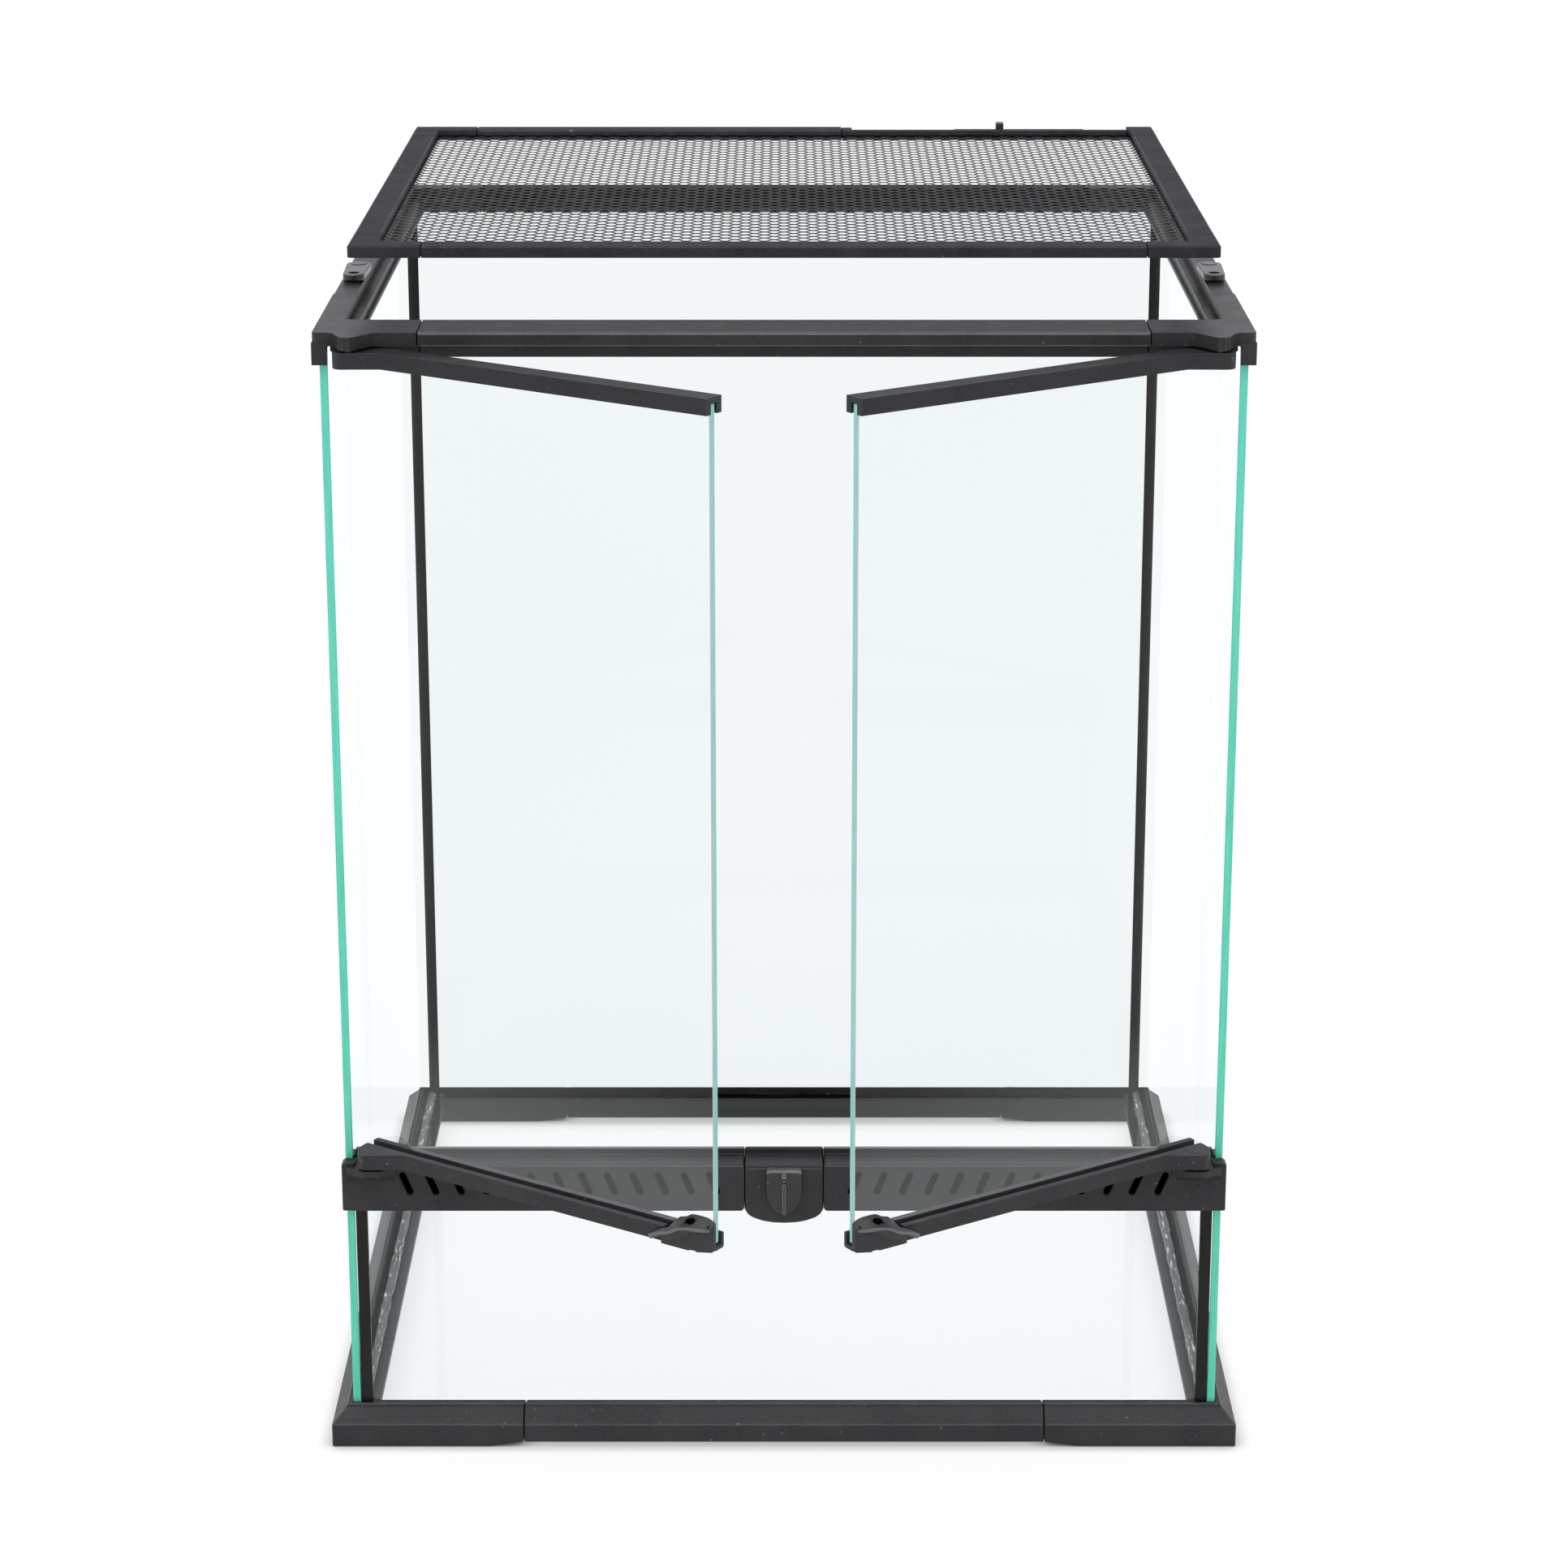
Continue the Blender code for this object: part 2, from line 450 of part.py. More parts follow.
# ---------------------------------------------------------------- lid
lid = empty("lid_lift", (0, 0, HEIGHT + LID_RAISED), 0.0, ROOT)
BAR = [(0, -LID_T), (0, -0.0008), (0.0008, 0), (LID_BAR - 0.0008, 0), (LID_BAR, -0.0008), (LID_BAR, -0.0030), (LID_BAR - 0.0035, -0.0030), (LID_BAR - 0.0035, -0.0044),
       (LID_BAR, -0.0044), (LID_BAR, -LID_T)]
arm_rr = LID_HALF_X - INLET_X1
for s, xname in ((-1, "left"), (1, "right")):
    part(mitred_corner(BAR, (s * LID_HALF_X, LID_Y0), (-s, 1), LID_ARM - SEAM, LID_ARM - SEAM), f"lid_corner_front_{xname}", BLACK, 0.5, parent=lid)
    part(mitred_corner(BAR, (s * LID_HALF_X, LID_Y1), (-s, -1), (LID_ARM if s < 0 else arm_rr) - SEAM, LID_ARM - SEAM), f"lid_corner_rear_{xname}", BLACK, 0.5, parent=lid)
    part(along_y([(s * (LID_HALF_X - v), z) for v, z in BAR], LID_Y0 + LID_ARM + SEAM, LID_Y1 - LID_ARM - SEAM), f"lid_rail_{xname}", BLACK, 0.5, parent=lid)
reach = LID_HALF_X - LID_ARM - SEAM
part(along_x([(LID_Y0 + v, z) for v, z in BAR], -reach, reach), "lid_rail_front", BLACK, 0.5, parent=lid)
part(along_x([(LID_Y1 - v, z) for v, z in BAR], -reach, INLET_X0 - SEAM), "lid_rail_rear", BLACK, 0.5, parent=lid)
INLET = [(0, -LID_T), (0, -0.0034), (0.0095, -0.0034), (0.0095, -0.0004), (LID_BAR, -0.0004), (LID_BAR, -0.0030), (LID_BAR - 0.0035, -0.0030), (LID_BAR - 0.0035, -0.0044),
         (LID_BAR, -0.0044), (LID_BAR, -LID_T)]
inlet = along_x([(LID_Y1 - v, z) for v, z in INLET], INLET_X0 + SEAM, INLET_X1 - SEAM)
add(inlet, box((INLET_X0 + SEAM, LID_Y1 - 0.0100, -0.0045), (0.0393, LID_Y1 - 0.0010, -0.0004)))
cut(inlet, box((0.1050, LID_Y1 - 0.0075, -0.010), (0.1650, LID_Y1 + 0.002, 0.0)))
part(inlet, "cable_inlet", BLACK, 0.5, parent=lid)
shutter = box((SHUTTER_X0, LID_Y1 - 0.0092, -0.0031), (SHUTTER_X1, LID_Y1 - 0.0004, -0.0013))
add(shutter, box((0.1226, LID_Y1 - 0.0085, -0.0020), (0.1270, LID_Y1 - 0.0015, 0.0030)))
part(shutter, "cable_shutter", DARK, 0.45, parent=lid)
v = LID_BAR - 0.0035 + GAP
part(box((-LID_HALF_X + v, LID_Y0 + v, -0.0041), (LID_HALF_X - v, LID_Y1 - v, -0.0033)), "lid_screen", (0.03, 0.03, 0.03), 0.4, 0.5, parent=lid)
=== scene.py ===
import json
from math import atan2, cos, hypot, pi, radians, sin

import bmesh
import bpy
import numpy as np
from mathutils import Matrix, Vector, noise


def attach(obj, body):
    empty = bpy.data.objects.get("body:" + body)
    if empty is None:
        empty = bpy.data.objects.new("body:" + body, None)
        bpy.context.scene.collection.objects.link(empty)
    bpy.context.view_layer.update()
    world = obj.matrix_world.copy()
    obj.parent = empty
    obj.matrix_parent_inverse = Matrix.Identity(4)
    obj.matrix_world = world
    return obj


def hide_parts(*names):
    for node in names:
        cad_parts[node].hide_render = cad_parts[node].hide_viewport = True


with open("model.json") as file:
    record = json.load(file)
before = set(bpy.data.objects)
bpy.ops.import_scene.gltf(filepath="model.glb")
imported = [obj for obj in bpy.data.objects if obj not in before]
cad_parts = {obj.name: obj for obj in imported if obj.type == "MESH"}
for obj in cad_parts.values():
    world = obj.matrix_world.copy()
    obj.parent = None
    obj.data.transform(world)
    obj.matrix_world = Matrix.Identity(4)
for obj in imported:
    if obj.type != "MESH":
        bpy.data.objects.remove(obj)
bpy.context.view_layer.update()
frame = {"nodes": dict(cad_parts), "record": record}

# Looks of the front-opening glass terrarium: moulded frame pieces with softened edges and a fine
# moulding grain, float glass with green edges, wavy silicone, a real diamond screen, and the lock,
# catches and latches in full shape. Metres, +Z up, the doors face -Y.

BODY = {n: b for b, names in frame["record"]["behaviour"]["bodies"].items() for n in names}

SHIFT_Y = 0.0576
TANK = Matrix.Translation((0, SHIFT_Y, 0))
PIVOT_X, PIVOT_Y = 0.2100, -0.2345
HEIGHT, LID_TOP = 0.587, 0.623
DOOR = {s: TANK @ Matrix.Translation((s * PIVOT_X, PIVOT_Y, 0)) @ Matrix.Rotation(s * radians(34), 4, "Z") for s in (-1, 1)}
LID = TANK @ Matrix.Translation((0, 0, LID_TOP))
SIDE = {-1: "left", 1: "right"}


# ---------------------------------------------------------------- materials
def shader_material(name):
    mat = bpy.data.materials.new(name)
    mat.use_nodes = True
    return mat, mat.node_tree, mat.node_tree.nodes["Principled BSDF"]


def add(tree, kind, **values):
    node = tree.nodes.new(kind)
    for key, value in values.items():
        setattr(node, key, value)
    return node


def object_coords(tree, stretch=(1, 1, 1)):
    coords = add(tree, "ShaderNodeTexCoord")
    mapping = add(tree, "ShaderNodeMapping")
    mapping.inputs["Scale"].default_value = stretch
    tree.links.new(coords.outputs["Object"], mapping.inputs["Vector"])
    return mapping.outputs["Vector"]


def noise_tex(tree, vector, scale, detail=2.0, rough=0.5):
    tex = add(tree, "ShaderNodeTexNoise")
    tex.inputs["Scale"].default_value = scale
    tex.inputs["Detail"].default_value = detail
    tex.inputs["Roughness"].default_value = rough
    tree.links.new(vector, tex.inputs["Vector"])
    return tex.outputs["Fac"]


def spread(tree, value, lo, hi, from_lo=0.3, from_hi=0.7):
    node = add(tree, "ShaderNodeMapRange")
    node.inputs["From Min"].default_value = from_lo
    node.inputs["From Max"].default_value = from_hi
    node.inputs["To Min"].default_value = lo
    node.inputs["To Max"].default_value = hi
    tree.links.new(value, node.inputs["Value"])
    return node.outputs["Result"]


def blend_colour(tree, factor, a, b):
    node = add(tree, "ShaderNodeMix", data_type="RGBA")
    for socket, colour in ((node.inputs[6], a), (node.inputs[7], b)):
        if isinstance(colour, tuple):
            socket.default_value = (*colour, 1)
        else:
            tree.links.new(colour, socket)
    tree.links.new(factor, node.inputs[0])
    return node.outputs[2]


def moulded(name, dark, light, rough, grain_scale, grain_depth, specular=0.5, fleck_share=0.42):
    """Injection-moulded plastic: cloudy tone, pale flecks of dust and a fine spark-eroded grain."""
    mat, tree, bsdf = shader_material(name)
    where = object_coords(tree)
    cloud = noise_tex(tree, where, 38, 4)
    fleck = noise_tex(tree, where, grain_scale * 0.45, 3, 0.65)
    tone = blend_colour(tree, spread(tree, cloud, 0, 1, 0.35, 0.65), dark, light)
    tone = blend_colour(tree, spread(tree, fleck, 0, fleck_share, 0.45, 0.72), tone, tuple(c * 1.5 for c in light))
    speck = noise_tex(tree, where, 420, 1, 0.3)
    tone = blend_colour(tree, spread(tree, speck, 0, 0.5, 0.775, 0.80), tone, tuple(min(1, c * 6) for c in light))
    tree.links.new(tone, bsdf.inputs["Base Color"])
    tree.links.new(spread(tree, noise_tex(tree, where, 120, 3), rough - 0.02, rough + 0.03), bsdf.inputs["Roughness"])
    grain = noise_tex(tree, where, grain_scale, 3, 0.6)
    bump = add(tree, "ShaderNodeBump")
    bump.inputs["Strength"].default_value = 0.35
    bump.inputs["Distance"].default_value = grain_depth
    tree.links.new(grain, bump.inputs["Height"])
    tree.links.new(bump.outputs["Normal"], bsdf.inputs["Normal"])
    bsdf.inputs["Specular IOR Level"].default_value = specular
    return mat


def rubbery(name, dark, light, rough, wave_scale, wave_depth, specular=0.5):
    """Silicone: smooth and glossy, with the slow waves a finger leaves."""
    mat, tree, bsdf = shader_material(name)
    where = object_coords(tree, (1, 1, 0.35))
    wave = noise_tex(tree, where, wave_scale, 3, 0.55)
    tree.links.new(blend_colour(tree, spread(tree, wave, 0, 1), dark, light), bsdf.inputs["Base Color"])
    tree.links.new(spread(tree, noise_tex(tree, where, wave_scale * 3, 2), rough, rough + 0.14), bsdf.inputs["Roughness"])
    bump = add(tree, "ShaderNodeBump")
    bump.inputs["Strength"].default_value = 0.6
    bump.inputs["Distance"].default_value = wave_depth
    tree.links.new(wave, bump.inputs["Height"])
    tree.links.new(bump.outputs["Normal"], bsdf.inputs["Normal"])
    bsdf.inputs["Specular IOR Level"].default_value = specular
    return mat


def clear_glass(name, tint, shine, share_of=1.8, share_high=None):
    """The face of a pane: what is behind it shows through a slight tint, under the pane's gloss, which thins out upwards."""
    mat, tree, bsdf = shader_material(name)
    tree.nodes.remove(bsdf)
    out = tree.nodes["Material Output"]
    through = add(tree, "ShaderNodeBsdfTransparent")
    where = object_coords(tree)
    tone = spread(tree, noise_tex(tree, where, 3.0, 2), 0, 1)
    tree.links.new(blend_colour(tree, tone, tint, tuple(min(1, c * 1.006) for c in tint)), through.inputs["Color"])
    gloss = add(tree, "ShaderNodeBsdfGlossy")
    gloss.inputs["Color"].default_value = (0.94, 0.97, 0.97, 1)
    gloss.inputs["Roughness"].default_value = 0.03
    fresnel = add(tree, "ShaderNodeFresnel")
    fresnel.inputs["IOR"].default_value = 1.45
    facing = add(tree, "ShaderNodeNewGeometry")
    front = add(tree, "ShaderNodeMath", operation="SUBTRACT")
    front.inputs[0].default_value = 1.0
    tree.links.new(facing.outputs["Backfacing"], front.inputs[1])
    both = add(tree, "ShaderNodeMath", operation="MULTIPLY")        # the pane's near and far surface, drawn on the near one
    tree.links.new(fresnel.outputs["Fac"], both.inputs[0])
    if share_high is None:
        both.inputs[1].default_value = share_of
    else:
        split = add(tree, "ShaderNodeSeparateXYZ")
        tree.links.new(where, split.inputs[0])
        tree.links.new(spread(tree, split.outputs["Z"], share_of, share_high, 0.190, 0.240), both.inputs[1])
    share = add(tree, "ShaderNodeMath", operation="MULTIPLY")
    tree.links.new(both.outputs[0], share.inputs[0])
    tree.links.new(front.outputs[0], share.inputs[1])
    limit = add(tree, "ShaderNodeMath", operation="MINIMUM")
    tree.links.new(share.outputs[0], limit.inputs[0])
    limit.inputs[1].default_value = shine
    mix = add(tree, "ShaderNodeMixShader")
    tree.links.new(limit.outputs[0], mix.inputs[0])
    tree.links.new(through.outputs[0], mix.inputs[1])
    tree.links.new(gloss.outputs[0], mix.inputs[2])
    tree.links.new(mix.outputs[0], out.inputs["Surface"])
    return mat


def glass_edge(name, low, high, z0, z1, rough=0.22):
    """The cut edge of a pane, where its green body colour gathers; paler towards the top."""
    mat, tree, bsdf = shader_material(name)
    coords = add(tree, "ShaderNodeTexCoord")
    split = add(tree, "ShaderNodeSeparateXYZ")
    tree.links.new(coords.outputs["Object"], split.inputs[0])
    height = add(tree, "ShaderNodeMapRange")
    height.inputs["From Min"].default_value = z0
    height.inputs["From Max"].default_value = z1
    tree.links.new(split.outputs["Z"], height.inputs["Value"])
    body = blend_colour(tree, height.outputs["Result"], low, high)
    where = object_coords(tree, (1, 1, 0.05))
    streak = noise_tex(tree, where, 900, 3)
    colour = blend_colour(tree, spread(tree, streak, 0, 0.35), body, tuple(min(1.0, c * 1.35 + 0.03) for c in high))
    tree.links.new(colour, bsdf.inputs["Base Color"])
    tree.links.new(spread(tree, noise_tex(tree, where, 500, 2), rough, rough + 0.15), bsdf.inputs["Roughness"])
    bsdf.inputs["Specular IOR Level"].default_value = 0.4
    # an edge seen from inside its own pane is a mirror, not a green wall
    inside = add(tree, "ShaderNodeNewGeometry")
    through = add(tree, "ShaderNodeBsdfTransparent")
    through.inputs["Color"].default_value = (0.97, 0.985, 0.985, 1)
    mix = add(tree, "ShaderNodeMixShader")
    tree.links.new(inside.outputs["Backfacing"], mix.inputs[0])
    tree.links.new(bsdf.outputs[0], mix.inputs[1])
    tree.links.new(through.outputs[0], mix.inputs[2])
    tree.links.new(mix.outputs[0], tree.nodes["Material Output"].inputs["Surface"])
    return mat


def silicone_with_painted_glints(name, dark, light, streak, rough):
    """Floor silicone: dark and wet, with pale lines along its run that are painted highlights."""
    mat, tree, bsdf = shader_material(name)
    along = object_coords(tree, (1, 0.05, 1))
    wave = noise_tex(tree, along, 420, 4, 0.6)
    line = noise_tex(tree, object_coords(tree, (1, 0.11, 1)), 900, 2, 0.5)
    tone = blend_colour(tree, spread(tree, wave, 0, 1, 0.36, 0.64), dark, light)
    # the pale lines: painted highlights
    tone = blend_colour(tree, spread(tree, line, 0, 1, 0.60, 0.66), tone, streak)
    tree.links.new(tone, bsdf.inputs["Base Color"])
    tree.links.new(spread(tree, wave, rough, rough + 0.2), bsdf.inputs["Roughness"])
    bump = add(tree, "ShaderNodeBump")
    bump.inputs["Strength"].default_value = 0.5
    bump.inputs["Distance"].default_value = 0.0008
    tree.links.new(wave, bump.inputs["Height"])
    tree.links.new(bump.outputs["Normal"], bsdf.inputs["Normal"])
    return mat


PLASTIC = moulded("frame_plastic", (0.017, 0.017, 0.019), (0.025, 0.025, 0.027), 0.40, 1500, 0.00012, 0.22)
# a paler copy of the frame plastic for rounded outer edges: a painted highlight
RIM_HIGHLIGHT = moulded("frame_plastic_painted_highlight", (0.058, 0.058, 0.061), (0.088, 0.088, 0.092), 0.30, 1500, 0.00008, 0.5)
# a softer paler copy for base, strip and housing edges: a painted highlight
SOFT_RIM_HIGHLIGHT = moulded("base_plastic_painted_edge_highlight", (0.028, 0.028, 0.030), (0.042, 0.042, 0.044), 0.34, 1500, 0.00008, 0.35)
# a paler copy for the strip's and housing's lip tops: painted light on the upward faces
LIP_TOP_LIGHT = moulded("strip_lip_top_painted_light", (0.095, 0.098, 0.104), (0.125, 0.129, 0.136), 0.34, 1500, 0.00010, 0.5)
LID_PLASTIC = moulded("lid_plastic", (0.026, 0.026, 0.030), (0.036, 0.036, 0.041), 0.50, 1500, 0.00010, 0.012)
# a paler copy of the lid plastic for its rounded outer edges: a painted highlight
LID_RIM_HIGHLIGHT = moulded("lid_plastic_painted_edge_highlight", (0.040, 0.040, 0.044), (0.056, 0.056, 0.061), 0.46, 1500, 0.00008, 0.05)
# a darker copy of the lid plastic for the lid's seam tongues: painted shade
LID_SEAM_SHADE = moulded("lid_plastic_painted_seam_shade", (0.010, 0.010, 0.012), (0.014, 0.014, 0.016), 0.60, 1500, 0.00008, 0.01)
# a near-black copy for the rear rail's faces under the panes and the rear floor bead: painted shade
PAINTED_SHADE = moulded("rear_rail_painted_shade", (0.007, 0.007, 0.0065), (0.012, 0.0115, 0.011), 0.60, 700, 0.0003, 0.01, 0.25)
DULL = moulded("frame_plastic_dull", (0.015, 0.015, 0.016), (0.022, 0.022, 0.024), 0.50, 1500, 0.00012, 0.012)
HARDWARE = moulded("hardware_plastic", (0.015, 0.015, 0.017), (0.022, 0.022, 0.024), 0.38, 1900, 0.00006, 0.38)
# a paler copy of the hardware plastic for edges, rims and raised bits: a painted highlight
HARD_HIGHLIGHT = moulded("hardware_plastic_painted_highlight", (0.070, 0.070, 0.074), (0.105, 0.105, 0.110), 0.26, 1900, 0.00005, 0.5)
# the latch's top faces take a lighter copy (painted light) and its upright sides a darker, glossier copy (painted
# shade)
LATCH_LIT_TOP = moulded("latch_plastic_painted_lit_top", (0.024, 0.024, 0.026), (0.034, 0.034, 0.036), 0.30, 1900, 0.00005, 0.5)
LATCH_SHADED_SIDE = moulded("latch_plastic_painted_shaded_side", (0.006, 0.006, 0.007), (0.012, 0.012, 0.013), 0.20, 700, 0.00045, 0.6)
# near-black for hollows, holes and seam tongues: painted shade
CAVITY_SHADE = moulded("vent_cavity_painted_shade", (0.002, 0.002, 0.002), (0.004, 0.004, 0.004), 0.9, 900, 0.0002, 0.05, 0.1)
MESH_PAINT = moulded("screen_paint", (0.010, 0.010, 0.011), (0.024, 0.024, 0.026), 0.42, 1400, 0.00008, 0.12)
SEAL = rubbery("black_silicone", (0.003, 0.003, 0.003), (0.009, 0.008, 0.0075), 0.30, 90, 0.0006, 0.22)
# the pale streak colour of the floor bead paints highlights
BEAD = silicone_with_painted_glints("floor_silicone_painted_glints", (0.030, 0.030, 0.031), (0.095, 0.098, 0.100), (0.55, 0.56, 0.56), 0.22)
REAR_CLEAR = clear_glass("rear_pane_face", (0.917, 0.935, 0.940), 0.30, 0.35)
SIDE_CLEAR = clear_glass("side_pane_face", (0.972, 0.984, 0.986), 0.07, 0.8)
FRONT_CLEAR = clear_glass("front_pane_face", (0.980, 0.986, 0.988), 0.20, 0.9)
FLOOR_CLEAR = clear_glass("floor_pane_face", (0.984, 0.989, 0.990), 0.05, 0.4)
DOOR_CLEAR = clear_glass("door_pane_face", (0.992, 0.995, 0.995), 0.30, 2.0, 0.5)
EDGE = glass_edge("pane_edge", (0.066, 0.46, 0.30), (0.100, 0.56, 0.43), 0.02, 0.58)
DOOR_EDGE = glass_edge("door_pane_edge", (0.21, 0.52, 0.46), (0.20, 0.58, 0.50), 0.16, 0.58)
GREY_EDGE = glass_edge("door_pane_edge_front", (0.31, 0.43, 0.45), (0.34, 0.48, 0.49), 0.16, 0.58)
PALE_EDGE = glass_edge("door_pane_arris", (0.52, 0.62, 0.65), (0.60, 0.72, 0.76), 0.16, 0.58)


def steel():
    mat, tree, bsdf = shader_material("pin_steel")
    where = object_coords(tree, (1, 1, 6))
    turned = noise_tex(tree, where, 700, 2)
    tree.links.new(blend_colour(tree, spread(tree, turned, 0, 1), (0.42, 0.42, 0.43), (0.62, 0.62, 0.63)), bsdf.inputs["Base Color"])
    tree.links.new(spread(tree, turned, 0.22, 0.38), bsdf.inputs["Roughness"])
    bsdf.inputs["Metallic"].default_value = 1.0
    return mat


STEEL = steel()


# ---------------------------------------------------------------- mesh helpers
def rounded(points, radius, n=3):
    """Closed outline with its corners rounded; radius is one value or one per corner."""
    out, count = [], len(points)
    for i, p in enumerate(points):
        r = radius[i] if isinstance(radius, (list, tuple)) else radius
        p, a, b = Vector(p), Vector(points[i - 1]), Vector(points[(i + 1) % count])
        la, lb = (a - p).length, (b - p).length
        r = min(r, 0.45 * la, 0.45 * lb)
        if r < 1e-6:
            out.append(p)
            continue
        p0, p1 = p + (a - p) / la * r, p + (b - p) / lb * r
        for k in range(n + 1):
            t = k / n
            out.append(p0 * (1 - t) ** 2 + p * 2 * t * (1 - t) + p1 * t * t)
    return out


def inset(loop, d):
    """The outline moved inward by d."""
    area = sum(loop[i - 1][0] * loop[i][1] - loop[i][0] * loop[i - 1][1] for i in range(len(loop)))
    turn = 1 if area > 0 else -1
    out = []
    for i, p in enumerate(loop):
        a, b = loop[i - 1], loop[(i + 1) % len(loop)]
        e0, e1 = Vector(p) - Vector(a), Vector(b) - Vector(p)
        if e0.length < 1e-9 or e1.length < 1e-9:
            out.append(Vector(p))
            continue
        n0 = Vector((-e0.y, e0.x)).normalized() * turn
        n1 = Vector((-e1.y, e1.x)).normalized() * turn
        n = (n0 + n1)
        k = d / max(0.35, 1 + n0.dot(n1)) if n.length > 1e-6 else 0
        out.append(Vector(p) + n * k)
    return out


def loft(bm, rings, material=0):
    """Skin over rings of equal count, with both ends closed."""
    made = [[bm.verts.new(p) for p in ring] for ring in rings]
    faces = []
    n = len(made[0])
    for a, b in zip(made, made[1:]):
        for i in range(n):
            faces.append(bm.faces.new((a[i], a[(i + 1) % n], b[(i + 1) % n], b[i])))
    faces.append(bm.faces.new(made[0][::-1]))
    faces.append(bm.faces.new(made[-1]))
    for f in faces:
        f.material_index = material
    return faces


def prism(bm, loop, w0, w1, place, edge=0.0004, segs=2, material=0, ends=(True, True), rim=None):
    """An outline swept from w0 to w1, its two rims rounded over by edge; rim is the material of that rounding."""
    rings = []
    steps = [(1 - sin(k / segs * pi / 2), 1 - cos(k / segs * pi / 2)) for k in range(segs + 1)]
    for off, run in (steps if ends[0] else [(0, 0)]):
        rings.append((inset(loop, edge * off), w0 + edge * run))
    for off, run in reversed(steps if ends[1] else [(0, 0)]):
        rings.append((inset(loop, edge * off), w1 - edge * run))
    faces = loft(bm, [[place(u, v, w) for u, v in ring] for ring, w in rings], material)
    if rim is not None:
        n, bands = len(loop), len(rings) - 1
        for band in range(bands):
            if (ends[0] and band < segs) or (ends[1] and band >= bands - segs):
                for f in faces[band * n:(band + 1) * n]:
                    f.material_index = rim
    return faces


def on_x(u, v, w):
    return Vector((w, u, v))


def on_y(u, v, w):
    return Vector((u, w, v))


def on_z(u, v, w):
    return Vector((u, v, w))


def arc(cx, cy, r, a0, a1, n):
    return [(cx + r * cos(radians(a0 + (a1 - a0) * i / n)), cy + r * sin(radians(a0 + (a1 - a0) * i / n))) for i in range(n + 1)]


def place_piece(bm, name, materials, matrix, nodes, body=None, sharp=42, weighted=True):
    """A finished mesh becomes a piece that rides on the body of the node it stands for."""
    bmesh.ops.recalc_face_normals(bm, faces=bm.faces)
    bm.transform(matrix)
    mesh = bpy.data.meshes.new(name)
    bm.to_mesh(mesh)
    bm.free()
    for m in materials:
        mesh.materials.append(m)
    mesh.shade_smooth()
    mesh.set_sharp_from_angle(angle=radians(sharp))
    obj = bpy.data.objects.new(name, mesh)
    bpy.context.scene.collection.objects.link(obj)
    if weighted:
        mod = obj.modifiers.new("even_shading", "WEIGHTED_NORMAL")
        mod.keep_sharp = True
    if nodes:
        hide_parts(*nodes)
    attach(obj, body or BODY[nodes[0]])
    return obj


def boolean(obj, cutter_bm, operation="DIFFERENCE"):
    """Cuts or joins another mesh into obj's mesh and keeps the result."""
    bmesh.ops.recalc_face_normals(cutter_bm, faces=cutter_bm.faces)
    mesh = bpy.data.meshes.new("cutter")
    cutter_bm.to_mesh(mesh)
    cutter_bm.free()
    cutter = bpy.data.objects.new("cutter", mesh)
    bpy.context.scene.collection.objects.link(cutter)
    mod = obj.modifiers.new("cut", "BOOLEAN")
    mod.operation = operation
    mod.solver = "EXACT"
    mod.object = cutter
    graph = bpy.context.evaluated_depsgraph_get()
    made = bpy.data.meshes.new_from_object(obj.evaluated_get(graph))
    obj.modifiers.remove(mod)
    old, obj.data = obj.data, made
    bpy.data.meshes.remove(old)
    bpy.data.objects.remove(cutter)
    bpy.data.meshes.remove(mesh)


def bare(bm, materials=()):
    """A plain mesh object, for cutting."""
    bmesh.ops.recalc_face_normals(bm, faces=bm.faces)
    mesh = bpy.data.meshes.new("blank")
    bm.to_mesh(mesh)
    bm.free()
    for m in materials:
        mesh.materials.append(m)
    obj = bpy.data.objects.new("blank", mesh)
    bpy.context.scene.collection.objects.link(obj)
    return obj


def taken(obj):
    """The bmesh of a blank, which goes."""
    bm = bmesh.new()
    bm.from_mesh(obj.data)
    mesh = obj.data
    bpy.data.objects.remove(obj)
    bpy.data.meshes.remove(mesh)
    return bm


def plugged(bm, axis, ends, depth=0.0006, reach=0.00045):
    """A tongue on the end faces, coloured in painted seam shade, so that a seam reads as a dark line and not as a slit
    of light.
    """
    for end in ends:
        far = max(v.co[axis] * end for v in bm.verts)
        caps = [f for f in bm.faces if f.normal[axis] * end > 0.98 and f.calc_center_median()[axis] * end > far - 1e-4 and f.calc_area() > 4e-6]
        if not caps:
            continue
        bmesh.ops.inset_region(bm, faces=caps, thickness=depth, depth=0, use_even_offset=True, use_boundary=True)
        made = bmesh.ops.extrude_face_region(bm, geom=caps)
        verts = [g for g in made["geom"] if isinstance(g, bmesh.types.BMVert)]
        tips = [g for g in made["geom"] if isinstance(g, bmesh.types.BMFace)]
        bmesh.ops.delete(bm, geom=[f for f in caps if f.is_valid and f not in tips], context="FACES_ONLY")
        for v in verts:
            v.co[axis] += end * reach
        for f in tips:
            f.material_index = 2
            for e in f.edges:
                for g in e.link_faces:
                    g.material_index = 2


